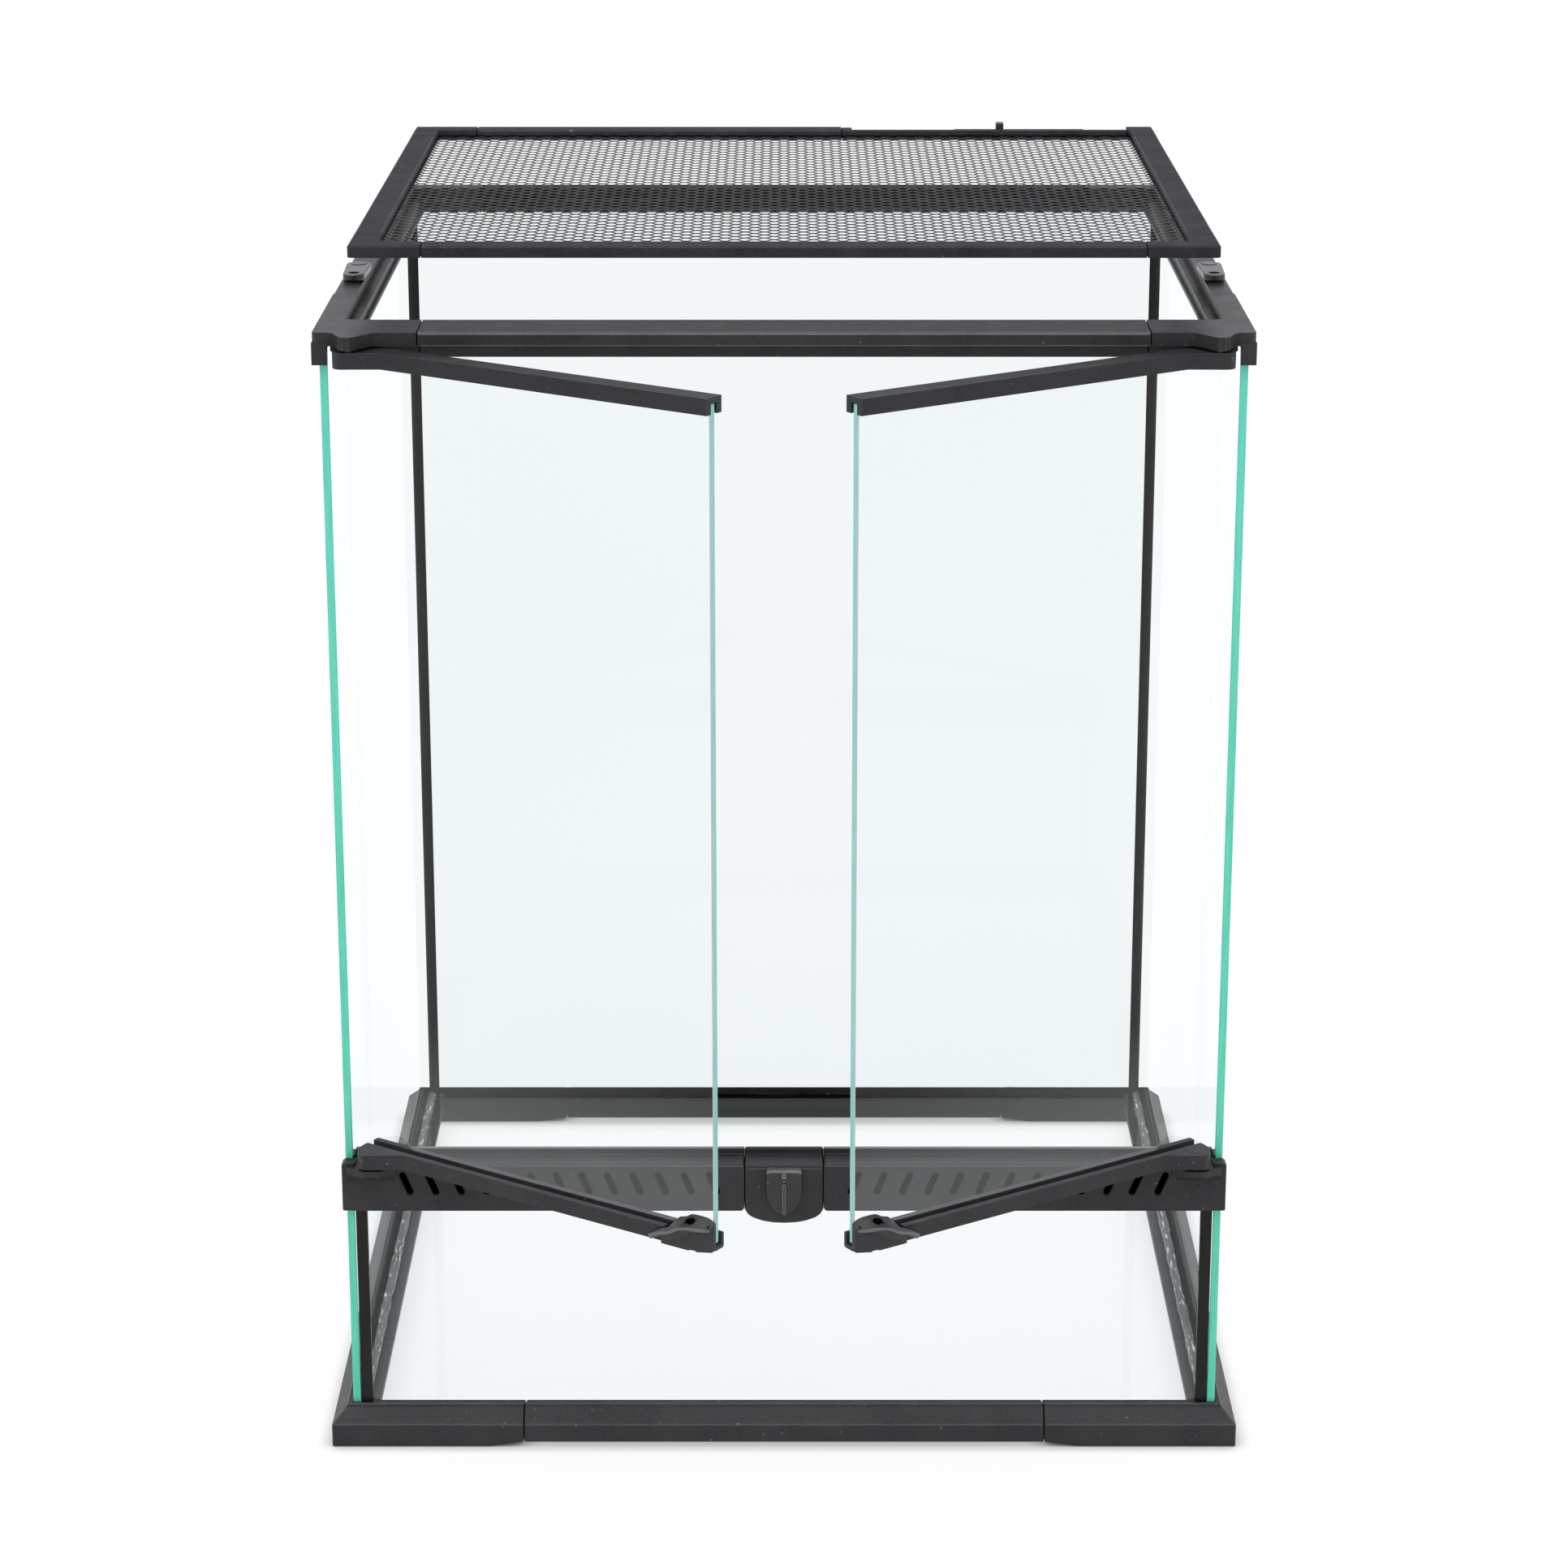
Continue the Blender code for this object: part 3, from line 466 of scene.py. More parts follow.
def softened(node, material, slot, width=0.0004, segs=2, angle=25, extra=None, sharp=42, rim=None, plug=None, seam=None, more=(), before=None):
    """The node's own shape with its edges rounded over, as they leave the mould; outer edges take rim, a paler copy of
    the plastic that paints their highlight, and seam tongues take seam, a painted shade.
    """
    bm = bmesh.new()
    bm.from_mesh(frame["nodes"][node].data)
    bmesh.ops.remove_doubles(bm, verts=bm.verts, dist=2e-5)
    bmesh.ops.dissolve_limit(bm, angle_limit=radians(0.6), verts=bm.verts, edges=bm.edges, use_dissolve_boundaries=False)
    if before:
        before(bm)
    bm.normal_update()
    edges = [e for e in bm.edges if len(e.link_faces) == 2 and e.calc_face_angle(0) > radians(angle)]
    dents = [(e.verts[0].co.copy(), e.verts[1].co.copy()) for e in edges if not e.is_convex]
    for f in bm.faces:
        f.material_index = 0
    bmesh.ops.bevel(bm, geom=edges, offset=width, offset_type="OFFSET", segments=segs, profile=0.5, affect="EDGES", clamp_overlap=True, miter_outer="ARC", miter_inner="SHARP", material=1)
    for f in bm.faces:
        if f.material_index != 1:
            continue
        c = f.calc_center_median()
        for a, b in dents:
            run = b - a
            k = max(0.0, min(1.0, (c - a).dot(run) / max(run.length_squared, 1e-12)))
            if (a + run * k - c).length < width * 1.3:
                f.material_index = 0
                break
    # the rounded edges along a seam get no painted highlight and stay dark
    if plug:
        seams = [(plug[0], max(v.co[plug[0]] * end for v in bm.verts) * end) for end in (-1, 1)]
    elif "corner" in node:
        seams = [(0, min((v.co.x for v in bm.verts), key=abs)), (1, SHIFT_Y + min((v.co.y - SHIFT_Y for v in bm.verts), key=abs))]
    else:
        seams = []
    for f in bm.faces:
        c = f.calc_center_median()
        if f.material_index == 1 and any(abs(c[axis] - at) < width * 1.2 for axis, at in seams):
            f.material_index = 0
    if plug:
        bm.normal_update()
        plugged(bm, *plug)
    if extra:
        extra(bm)
    return place_piece(bm, node + ".moulded", [material, rim or material, seam or CAVITY_SHADE, *more], Matrix.Identity(4), [node], sharp=sharp)


# ---------------------------------------------------------------- camera, floor and light
camera = bpy.data.objects.new("camera", bpy.data.cameras.new("camera"))
bpy.context.scene.collection.objects.link(camera)
camera.location = (0.0, SHIFT_Y - 2.225, 0.9716)
camera.rotation_euler = (radians(90 - 17.05), 0, 0)
camera.data.lens = 5165 / 1932 * 36
camera.data.sensor_width = 36
camera.data.clip_start, camera.data.clip_end = 0.05, 60
bpy.context.scene.camera = camera

bm = bmesh.new()
bmesh.ops.create_grid(bm, x_segments=24, y_segments=24, size=40)
bmesh.ops.translate(bm, vec=(0, 6, -0.0003), verts=bm.verts)
mesh = bpy.data.meshes.new("studio_floor")
bm.to_mesh(mesh)
bm.free()
floor = bpy.data.objects.new("studio_floor", mesh)
bpy.context.scene.collection.objects.link(floor)
mat, tree, bsdf = shader_material("studio_white")
white = noise_tex(tree, object_coords(tree), 2.0, 2)
tree.links.new(blend_colour(tree, white, (0.232, 0.232, 0.232), (0.238, 0.238, 0.238)), bsdf.inputs["Base Color"])
bsdf.inputs["Roughness"].default_value = 0.95
bsdf.inputs["Specular IOR Level"].default_value = 0.0
# lit from below like a light table, fading out far to the sides and in front; near the object the glow is dimmed by
# ambient occlusion, a painted contact shadow
coords = add(tree, "ShaderNodeTexCoord")
split = add(tree, "ShaderNodeSeparateXYZ")
tree.links.new(coords.outputs["Object"], split.inputs[0])
side_way = add(tree, "ShaderNodeMath", operation="ABSOLUTE")
tree.links.new(split.outputs["X"], side_way.inputs[0])
back_way = add(tree, "ShaderNodeMath", operation="MULTIPLY")
tree.links.new(split.outputs["Y"], back_way.inputs[0])
back_way.inputs[1].default_value = -0.22
reach = add(tree, "ShaderNodeMath", operation="ADD")
tree.links.new(side_way.outputs[0], reach.inputs[0])
tree.links.new(back_way.outputs[0], reach.inputs[1])
# ambient occlusion darkens the floor's glow near the object: a painted contact shadow
painted_contact_shadow = add(tree, "ShaderNodeAmbientOcclusion")
painted_contact_shadow.samples = 6
painted_contact_shadow.inputs["Distance"].default_value = 0.009
lit = add(tree, "ShaderNodeMath", operation="MULTIPLY")
tree.links.new(spread(tree, reach.outputs[0], 0.74, 0.50, 1.15, 2.6), lit.inputs[0])
tree.links.new(painted_contact_shadow.outputs["AO"], lit.inputs[1])
tree.links.new(lit.outputs[0], bsdf.inputs["Emission Strength"])
bsdf.inputs["Emission Color"].default_value = (1, 1, 1, 1)
mesh.materials.append(mat)

world = bpy.data.worlds.new("studio")
bpy.context.scene.world = world
world.use_nodes = True
tree = world.node_tree
coords = add(tree, "ShaderNodeTexCoord")
split = add(tree, "ShaderNodeSeparateXYZ")
tree.links.new(coords.outputs["Generated"], split.inputs[0])
tree.links.new(spread(tree, split.outputs["Z"], 0.95, 0.42, 0.30, 0.75), tree.nodes["Background"].inputs["Strength"])
tree.nodes["Background"].inputs["Color"].default_value = (0.97, 0.985, 1.0, 1)

sun = bpy.data.objects.new("overhead_softbox", bpy.data.lights.new("overhead_softbox", "SUN"))
bpy.context.scene.collection.objects.link(sun)
sun.data.energy = 2.5
sun.data.angle = radians(80)
sun.rotation_euler = (radians(16), radians(-3), 0)

scene = bpy.context.scene
scene.view_settings.view_transform = "Standard"
scene.view_settings.look = "None"
scene.view_settings.exposure = 0.0
scene.view_settings.gamma = 1.0
scene.cycles.max_bounces = 14
scene.cycles.transparent_max_bounces = 40
scene.cycles.sample_clamp_indirect = 6.0


# ---------------------------------------------------------------- frame pieces from the model's own shape
def lid_corner(bm):
    """The lid's outer corners are rounded in plan, and so are the corners of its opening."""
    far_x = max(abs(v.co.x) for v in bm.verts)
    ys = [v.co.y for v in bm.verts]
    far_y = max(ys) if sum(ys) / len(ys) > SHIFT_Y else min(ys)
    outer = [e for e in bm.edges if all(abs(abs(v.co.x) - far_x) < 1e-4 and abs(v.co.y - far_y) < 1e-4 for v in e.verts)]
    if outer:
        bmesh.ops.bevel(bm, geom=outer, offset=0.0026, offset_type="OFFSET", segments=5, profile=0.5, affect="EDGES")
    bm.normal_update()
    top = max(v.co.z for v in bm.verts)
    inner = [e for e in bm.edges if len(e.link_faces) == 2 and not e.is_convex and max(v.co.z for v in e.verts) > top - 1e-4
             and (e.verts[0].co - e.verts[1].co).xy.length < 1e-5]
    if inner:
        bmesh.ops.bevel(bm, geom=inner, offset=0.0028, offset_type="OFFSET", segments=5, profile=0.5, affect="EDGES")


def paint_rear_rail_shade(bm):
    """The rear rail's faces below the panes are painted in deep shade; the faces further out take the duller plastic.
    """
    bm.normal_update()
    for f in bm.faces:
        c = f.calc_center_median()
        if c.y - SHIFT_Y > 0.19 and f.material_index in (0, 1) and (f.normal.z > 0.3 or f.normal.y < -0.3):
            f.material_index = 3 if c.y - SHIFT_Y < 0.2262 else 4


for yname in ("front", "rear"):
    inside = dict(extra=paint_rear_rail_shade, more=(PAINTED_SHADE, DULL)) if yname == "rear" else {}
    for xname in ("left", "right"):
        softened(f"base_corner_{yname}_{xname}", PLASTIC, "frame_plastic", 0.0005, rim=SOFT_RIM_HIGHLIGHT, **inside)
        softened(f"lid_corner_{yname}_{xname}", LID_PLASTIC, "frame_plastic", 0.0003, rim=LID_RIM_HIGHLIGHT, before=lid_corner)
        softened(f"top_corner_{yname}_{xname}", PLASTIC, "frame_plastic", 0.0004, rim=RIM_HIGHLIGHT)
    softened(f"base_rail_{yname}", PLASTIC, "frame_plastic", 0.0005, rim=SOFT_RIM_HIGHLIGHT, plug=(0, (-1, 1)), **inside)
    top = (PLASTIC, RIM_HIGHLIGHT) if yname == "front" else (DULL, SOFT_RIM_HIGHLIGHT)
    softened(f"top_rail_{yname}", top[0], "frame_plastic", 0.0004, rim=top[1], plug=(0, (-1, 1)))
    softened(f"lid_rail_{yname}", LID_PLASTIC, "frame_plastic", 0.0003, rim=LID_RIM_HIGHLIGHT, plug=(0, (-1, 1), 0.0004), seam=LID_SEAM_SHADE)
for xname in ("left", "right"):
    softened(f"base_rail_{xname}", PLASTIC, "frame_plastic", 0.0005, rim=SOFT_RIM_HIGHLIGHT, plug=(1, (-1, 1)))
    softened(f"top_rail_{xname}", PLASTIC, "frame_plastic", 0.0004, rim=RIM_HIGHLIGHT, plug=(1, (-1, 1)))
    softened(f"lid_rail_{xname}", LID_PLASTIC, "frame_plastic", 0.0003, rim=LID_RIM_HIGHLIGHT, plug=(1, (-1, 1), 0.0004), seam=LID_SEAM_SHADE)
    softened(f"door_top_rail_{xname}", PLASTIC, "frame_plastic", 0.0003, rim=RIM_HIGHLIGHT)
softened("cable_inlet", LID_PLASTIC, "frame_plastic", 0.0003, rim=LID_RIM_HIGHLIGHT, plug=(0, (1,), 0.0004), seam=LID_SEAM_SHADE)
softened("cable_shutter", HARDWARE, "hardware_plastic", 0.0003, rim=HARD_HIGHLIGHT)


def knuckle_mark(s):
    def mark(bm):
        made = bmesh.new()
        # the ring's rounding is drawn in the door rail's paler rim plastic: a painted highlight
        prism(made, [(x, y) for x, y in arc(0, 0, 0.0029, 0, 345, 23)], 0.16515, 0.16545, on_z, 0.0001, 1, rim=1)
        made.transform(DOOR[s])
        mesh = bpy.data.meshes.new("mark")
        made.to_mesh(mesh)
        made.free()
        bm.from_mesh(mesh)
        bpy.data.meshes.remove(mesh)
    return mark


for s, xname in SIDE.items():
    softened(f"door_bottom_rail_{xname}", PLASTIC, "frame_plastic", 0.0003, extra=knuckle_mark(s), rim=RIM_HIGHLIGHT)
    for end in ("top", "bottom"):
        softened(f"hinge_pin_{end}_{xname}", STEEL, "steel_pin", 0.0003, angle=60)
softened("lock_retaining_ring", STEEL, "steel_pin", 0.0002, angle=60)


# ---------------------------------------------------------------- glass
def pane(node, lo, hi, thin, matrix, face, edge, ends=None, arris=True, halves=None):
    """A pane with small ground arrises: clear faces, coloured edges. ends = {axis sign: material} for one edge of its own,
    halves = the material of the edge's front half, arris = False leaves the arrises clear."""
    bm = bmesh.new()
    bmesh.ops.create_cube(bm, size=1.0)
    lo, hi = Vector([min(a, b) for a, b in zip(lo, hi)]), Vector([max(a, b) for a, b in zip(lo, hi)])
    bmesh.ops.scale(bm, vec=hi - lo, verts=bm.verts)
    bmesh.ops.translate(bm, vec=(hi + lo) / 2, verts=bm.verts)
    bmesh.ops.bevel(bm, geom=bm.edges[:], offset=0.0005, offset_type="OFFSET", segments=1, profile=0.5, affect="EDGES")
    if halves:
        middle = (lo[thin] + hi[thin]) / 2
        no = Vector((0, 0, 0))
        no[thin] = 1
        bmesh.ops.bisect_plane(bm, geom=bm.verts[:] + bm.edges[:] + bm.faces[:], plane_co=no * middle, plane_no=no, dist=1e-7)
    materials = [face, edge]
    for f in bm.faces:
        f.material_index = 0 if abs(f.normal[thin]) > (0.95 if arris else 0.3) else 1
    if halves:
        materials.append(halves)
        for f in bm.faces:
            if f.material_index == 1 and f.calc_center_median()[thin] < middle:
                f.material_index = 2
    for (axis, sign), own in (ends or {}).items():
        materials.append(own)
        for f in bm.faces:
            if f.normal[axis] * sign > 0.5 and abs(f.normal[thin]) < 0.95:
                f.material_index = len(materials) - 1
    obj = place_piece(bm, node + ".glass", materials, matrix, [node], sharp=20, weighted=False)
    obj.visible_shadow = False
    return obj


GLASS_HALF, INNER, SEAT, PANE_TOP, GAP = 0.225, 0.221, 0.0159, 0.5825, 0.0003
pane("floor_pane", (-INNER + 0.0005, -0.2200, SEAT), (INNER - 0.0005, 0.2200, SEAT + 0.004), 2, TANK, FLOOR_CLEAR, FLOOR_CLEAR, arris=False)
pane("rear_pane", (-INNER + GAP, INNER, SEAT), (INNER - GAP, GLASS_HALF, PANE_TOP), 1, TANK, REAR_CLEAR, EDGE, arris=False)
pane("lower_front_pane", (-0.2147, -0.2245, SEAT), (0.2147, -0.2205, 0.1360), 1, TANK, FRONT_CLEAR, EDGE, arris=False)
for s, xname in SIDE.items():
    pane(f"side_pane_{xname}", (s * INNER, -GLASS_HALF, SEAT), (s * GLASS_HALF, GLASS_HALF, PANE_TOP), 0, TANK, SIDE_CLEAR, EDGE)
    pane(f"door_pane_{xname}", (-s * -0.0090, 0.008, 0.1603), (-s * 0.2070, 0.012, 0.5761), 1, DOOR[s], DOOR_CLEAR, DOOR_EDGE,
         {(0, s): PALE_EDGE}, halves=GREY_EDGE)

# ---------------------------------------------------------------- silicone
def wavy_bar(bm, profile, w0, w1, place, step, wobble, seed, material=0):
    """A pressed bead: its section swells and shrinks a little along its run."""
    count = max(2, int((w1 - w0) / step))
    rings = []
    cx = sum(p[0] for p in profile) / len(profile)
    cy = sum(p[1] for p in profile) / len(profile)
    for i in range(count + 1):
        w = w0 + (w1 - w0) * i / count
        ring = []
        for j, (u, v, free) in enumerate(profile):
            k = 1 + free * wobble * noise.noise(Vector((w * 60, seed, j * 0.35))) + free * wobble * 0.6 * noise.noise(Vector((w * 210, seed + 5, j * 0.6)))
            ring.append(place(cx + (u - cx) * k, cy + (v - cy) * k, w))
        rings.append(ring)
    loft(bm, rings, material)


for s, xname in SIDE.items():
    # rear corner seal: a filled corner with a slightly hollow face
    a, b = INNER - GAP, 0.2150
    mid = (a + b) / 2
    section = [(s * a, b, 0), (s * a, a, 0), (s * b, a, 0)]
    face = [(s * (b + (a - b) * t + 0.0007 * 4 * t * (1 - t)), a + (b - a) * t + 0.0007 * 4 * t * (1 - t), 1) for t in (0.2, 0.4, 0.6, 0.8)]
    bm = bmesh.new()
    profile = section + face
    wavy_bar(bm, profile, 0.0203, HEIGHT - 0.0125, on_z, 0.004, 0.10, 3 + s)
    place_piece(bm, f"rear_seal_{xname}.bead", [SEAL], TANK, [f"rear_seal_{xname}"], weighted=False)
    bm = bmesh.new()
    box = rounded([(s * 0.2150, -0.2247), (s * (INNER - GAP), -0.2247), (s * (INNER - GAP), -0.2187), (s * 0.2150, -0.2187)], 0.0006, 3)
    profile = [(p[0], p[1], 0.25) for p in box]
    wavy_bar(bm, profile, 0.0203, 0.1307, on_z, 0.003, 0.06, 8 + s)
    place_piece(bm, f"front_seal_{xname}.bead", [SEAL], TANK, [f"front_seal_{xname}"], weighted=False)
    # floor bead along the side pane, under the rear seal and behind the front one
    z0 = SEAT + 0.004 + 0.0002
    quarter = [(s * (INNER - GAP), z0, 0)] + [(s * (INNER - GAP - 0.0042 * sin(radians(t))), z0 + 0.0036 * cos(radians(t)), 1) for t in (0, 18, 36, 54, 72, 90)]
    bm = bmesh.new()
    wavy_bar(bm, quarter, -0.2180, 0.2140, lambda u, v, w: Vector((u, w, v)), 0.0022, 0.22, 20 + s)
    place_piece(bm, f"floor_bead_{xname}", [BEAD], TANK, [], body="tank", weighted=False)
quarter = [(INNER - GAP, z0, 0)] + [(INNER - GAP - 0.0036 * sin(radians(t)), z0 + 0.0032 * cos(radians(t)), 1) for t in (0, 18, 36, 54, 72, 90)]
bm = bmesh.new()
wavy_bar(bm, quarter, -0.2120, 0.2120, lambda u, v, w: Vector((w, u, v)), 0.0022, 0.22, 31)
# the rear floor bead is drawn in the painted deep shade
place_piece(bm, "floor_bead_rear", [PAINTED_SHADE], TANK, [], body="tank", weighted=False)

# ---------------------------------------------------------------- vent strips
STRIP_Y, Z0, Z1, LIP_Z = -0.2320, 0.131, 0.156, 0.159
STRIP = [(STRIP_Y, Z0), (STRIP_Y, Z1), (-0.2155, Z1), (-0.2155, LIP_Z), (-0.2125, LIP_Z), (-0.2125, 0.1370),
         (-0.2180, 0.1370), (-0.2180, Z0), (-0.2201, Z0), (-0.2201, 0.1364), (-0.2249, 0.1364), (-0.2249, Z0)]
STRIP_R = [0.0006, 0.0011, 0.0003, 0.0005, 0.0005] + [0.0002] * 7


def capsule(cx, cz, lean, width, length, n=8):
    dx, dz = sin(lean), cos(lean)
    half, tilt, r = (length - width) / 2, 90 - lean * 180 / pi, width / 2
    return arc(cx + dx * half, cz + dz * half, r, tilt - 90, tilt + 90, n) + arc(cx - dx * half, cz - dz * half, r, tilt + 90, tilt + 270, n)


for s, xname in SIDE.items():
    bm = bmesh.new()
    loop = rounded(STRIP, STRIP_R, 3)
    x_in, x_out = 0.0203, 0.2205
    a, b = (x_in, x_out) if s > 0 else (-x_out, -x_in)
    prism(bm, loop, a, b, on_x, 0.00015, 1)
    strip = bare(bm, [PLASTIC, CAVITY_SHADE, RIM_HIGHLIGHT])
    # lower corner beside the lock housing is rounded, upper one eased
    trim = bmesh.new()
    corner = [(s * (x_in - 0.001), Z0 - 0.001), (s * (x_in + 0.0026), Z0 - 0.001)] + [(s * (x_in + 0.0026 - 0.0026 * sin(radians(t))), Z0 + 0.0026 - 0.0026 * cos(radians(t))) for t in (0, 15, 30, 45, 60, 75, 90)] + [(s * (x_in - 0.001), Z0 + 0.0026)]
    loft(trim, [[Vector((u, y, v)) for u, v in corner] for y in (STRIP_Y - 0.001, -0.2100)])
    boolean(strip, trim)
    trim = bmesh.new()
    corner = [(s * (x_in - 0.001), Z1 + 0.001), (s * (x_in + 0.0012), Z1 + 0.001), (s * (x_in + 0.0012), Z1), (s * (x_in + 0.0004), Z1 - 0.0004), (s * x_in, Z1 - 0.0012), (s * (x_in - 0.001), Z1 - 0.0012)]
    loft(trim, [[Vector((u, y, v)) for u, v in corner] for y in (STRIP_Y - 0.001, -0.2157)])
    boolean(strip, trim)
    hollow = bmesh.new()
    loft(hollow, [[Vector((s * w, y, z)) for y, z in ((STRIP_Y + 0.0025, 0.1384), (STRIP_Y + 0.0025, 0.1535), (-0.2140, 0.1535), (-0.2140, 0.1384))] for w in (x_in + 0.0015, x_out - 0.0015)])
    boolean(strip, hollow)
    slots = bmesh.new()
    for k in range(13):
        x = s * (0.0363 + 0.0131 * k)
        rings = []
        for y, grow in ((STRIP_Y - 0.0010, 0.00055), (STRIP_Y + 0.00005, 0.00045), (STRIP_Y + 0.0003, 0.00012), (STRIP_Y + 0.0006, 0.0), (STRIP_Y + 0.0040, 0.0)):
            rings.append([Vector((u, y, v)) for u, v in capsule(x, 0.1461, s * radians(22.5), 0.0033 + grow * 2, 0.0131 + grow * 2)])
        loft(slots, rings)
    boolean(strip, slots)
    bm = taken(strip)
    # inside the hollow strip the faces take the near-black cavity plastic (painted shade); the front-top rounding takes
    # the soft painted highlight and the lip's top the paler painted top light
    for f in bm.faces:
        c = f.calc_center_median()
        inner = STRIP_Y + 0.0008 < c.y < -0.2138 and 0.1380 < c.z < 0.1537 and x_in + 0.001 < abs(c.x) < x_out - 0.001
        front_top_highlight = f.normal.y < -0.25 and f.normal.z > 0.25 and c.z > 0.154
        lip_top_light = f.normal.z > 0.25 and c.z > LIP_Z - 0.0006
        f.material_index = 1 if inner else 3 if front_top_highlight else 4 if lip_top_light else 0
    # end cheek in front of the side pane, its rounding in the soft painted highlight
    cheek = rounded([(s * 0.2195, Z0 + 0.0001), (s * 0.2265, Z0 + 0.0001), (s * 0.2265, 0.1566), (s * 0.2250, 0.1578), (s * 0.2195, 0.1578)], [0.0001, 0.0010, 0.0012, 0.0005, 0.0001], 3)
    prism(bm, cheek, STRIP_Y + 0.00004, -0.2253, on_y, 0.0004, 2, rim=3)
    # upswept shoulder behind the hinge, against the side pane
    sweep = rounded([(s * 0.2245, Z1 - 0.001), (s * 0.2245, Z1 + 0.0010), (s * 0.2232, Z1 + 0.0018), (s * 0.2218, LIP_Z), (s * 0.2203, LIP_Z), (s * 0.2203, Z1 - 0.001)], 0.0005, 3)
    prism(bm, sweep, -0.2249, -0.2160, on_y, 0.0003, 2)
    # hinge ear: full at the top, fading into the face below
    plan = rounded([(-0.2246, -0.2290), (-0.2246, -0.2324), (-0.2150, -0.2398), (-0.2135, -0.2404), (-0.2085, -0.2404), (-0.2065, -0.2395), (-0.1980, -0.2324), (-0.1980, -0.2290)], [0.0001, 0.0012, 0.002, 0.001, 0.001, 0.002, 0.0012, 0.0001], 4)
    plan = [(-s * x, y) for x, y in plan]
    rings = []
    for z, grow, out in ((Z1 - 0.0001, 0.00035, 1), (Z1 - 0.0002, 0.00015, 1), (Z1 - 0.0005, 0, 1), (Z1 - 0.0030, 0, 0.98), (Z1 - 0.0048, 0, 0.72), (Z1 - 0.0062, 0, 0.40), (Z1 - 0.0074, 0, 0.14), (Z1 - 0.0080, 0, 0.0)):
        ring = inset(plan, grow)
        flat = []
        for u, v in ring:
            bulge = max(0.0, STRIP_Y - v)
            flat.append(Vector((u, v + bulge * (1 - out), z)))
        rings.append(flat)
    loft(bm, rings)
    place_piece(bm, f"vent_strip_{xname}.moulded", [PLASTIC, CAVITY_SHADE, RIM_HIGHLIGHT, SOFT_RIM_HIGHLIGHT, LIP_TOP_LIGHT], TANK, [f"vent_strip_{xname}"])

# ---------------------------------------------------------------- lock housing and knob
H = 0.0198
bm = bmesh.new()
loop = rounded(STRIP, STRIP_R, 3)
prism(bm, loop, -H, H, on_x, 0.00018, 1)
bm.normal_update()
# the lip's top faces take the paler lip plastic (painted top light) and the front-top rounding the soft painted
# highlight
for f in bm.faces:
    c = f.calc_center_median()
    if f.normal.z > 0.25 and c.z > LIP_Z - 0.0006:
        f.material_index = 3
    elif f.normal.y < -0.25 and f.normal.z > 0.25 and c.z > 0.154:
        f.material_index = 1
apron = [(-H, 0.1548), (-H, 0.1325), (-H + 0.0003, 0.1312), (-H + 0.0012, 0.1295), (-0.0160, 0.1276), (-0.0109, 0.1258), (-0.0060, 0.1249), (0, 0.1246)]
apron += [(-x, z) for x, z in reversed(apron[:-1])]
apron = rounded(apron, 0.0012, 3)
# the apron's rounded rim takes the soft painted highlight down to z 0.153
prism(bm, apron, STRIP_Y - 0.0006, STRIP_Y + 0.0024, on_y, 0.0005, 3, rim=1)
for f in bm.faces:
    if f.material_index == 1 and f.calc_center_median().z < 0.153:
        f.material_index = 0
# tongues at both ends close the joints with the strips, coloured in painted seam shade
prism(bm, inset(STRIP, 0.0008), -H - 0.00045, H + 0.00045, on_x, 0.0001, 1, material=2, rim=2)
place_piece(bm, "lock_housing.moulded", [PLASTIC, SOFT_RIM_HIGHLIGHT, CAVITY_SHADE, LIP_TOP_LIGHT], TANK, ["lock_housing"])

KNOB = TANK @ Matrix.Translation((0, STRIP_Y, 0.1476))
BACK, FRONT = -0.0030, -0.0080
w = 0.0092
arch = [(w * (1 - t ** 2.0) ** 0.56, -0.0022 - 0.0128 * t) for t in (0.0, 0.12, 0.24, 0.36, 0.48, 0.59, 0.69, 0.78, 0.86, 0.925, 0.97, 0.993)]
shield = (arc(-w + 0.0020, 0.0090 - 0.0020, 0.0020, 180, 90, 6) + arc(w - 0.0020, 0.0090 - 0.0020, 0.0020, 90, 0, 6)
          + [(w, 0.0030)] + arch + [(0, -0.0150)] + [(-x, z) for x, z in reversed(arch)] + [(-w, 0.0030)])
bm = bmesh.new()
rings = []
for y, off in ((BACK, 0.0005), (BACK - 0.0004, 0.0001), (BACK - 0.0008, 0.0), (FRONT + 0.0013, 0.0), (FRONT + 0.0007, 0.0003), (FRONT + 0.0002, 0.0008), (FRONT, 0.0014), (FRONT + 0.0003, 0.0019), (FRONT + 0.0005, 0.0027)):
    rings.append([Vector((u, y, v)) for u, v in inset(shield, off)])
faces = loft(bm, rings)
n = len(shield)
# the upper part of the knob's front rounding takes the paler plastic: a painted highlight
for band in (3, 4, 5):
    for f in faces[band * n:(band + 1) * n]:
        f.material_index = 1 if f.calc_center_median().z > 0.0062 else 0
ridge = rounded([(-0.0009, -0.0146), (-0.0004, -0.0151), (0.0004, -0.0151), (0.0009, -0.0146), (0.0010, 0.0018), (-0.0010, 0.0018)], [0.0004, 0.0004, 0.0004, 0.0004, 0.0008, 0.0008], 4)
# the ridge's rounded rims take the painted highlight
prism(bm, ridge, FRONT - 0.0012, FRONT + 0.0014, on_y, 0.0006, 4, rim=1)
block = rounded([(-0.0012, 0.0044), (0.0012, 0.0044), (0.0012, 0.0086), (-0.0012, 0.0086)], [0.0006, 0.0006, 0.0004, 0.0004], 4)
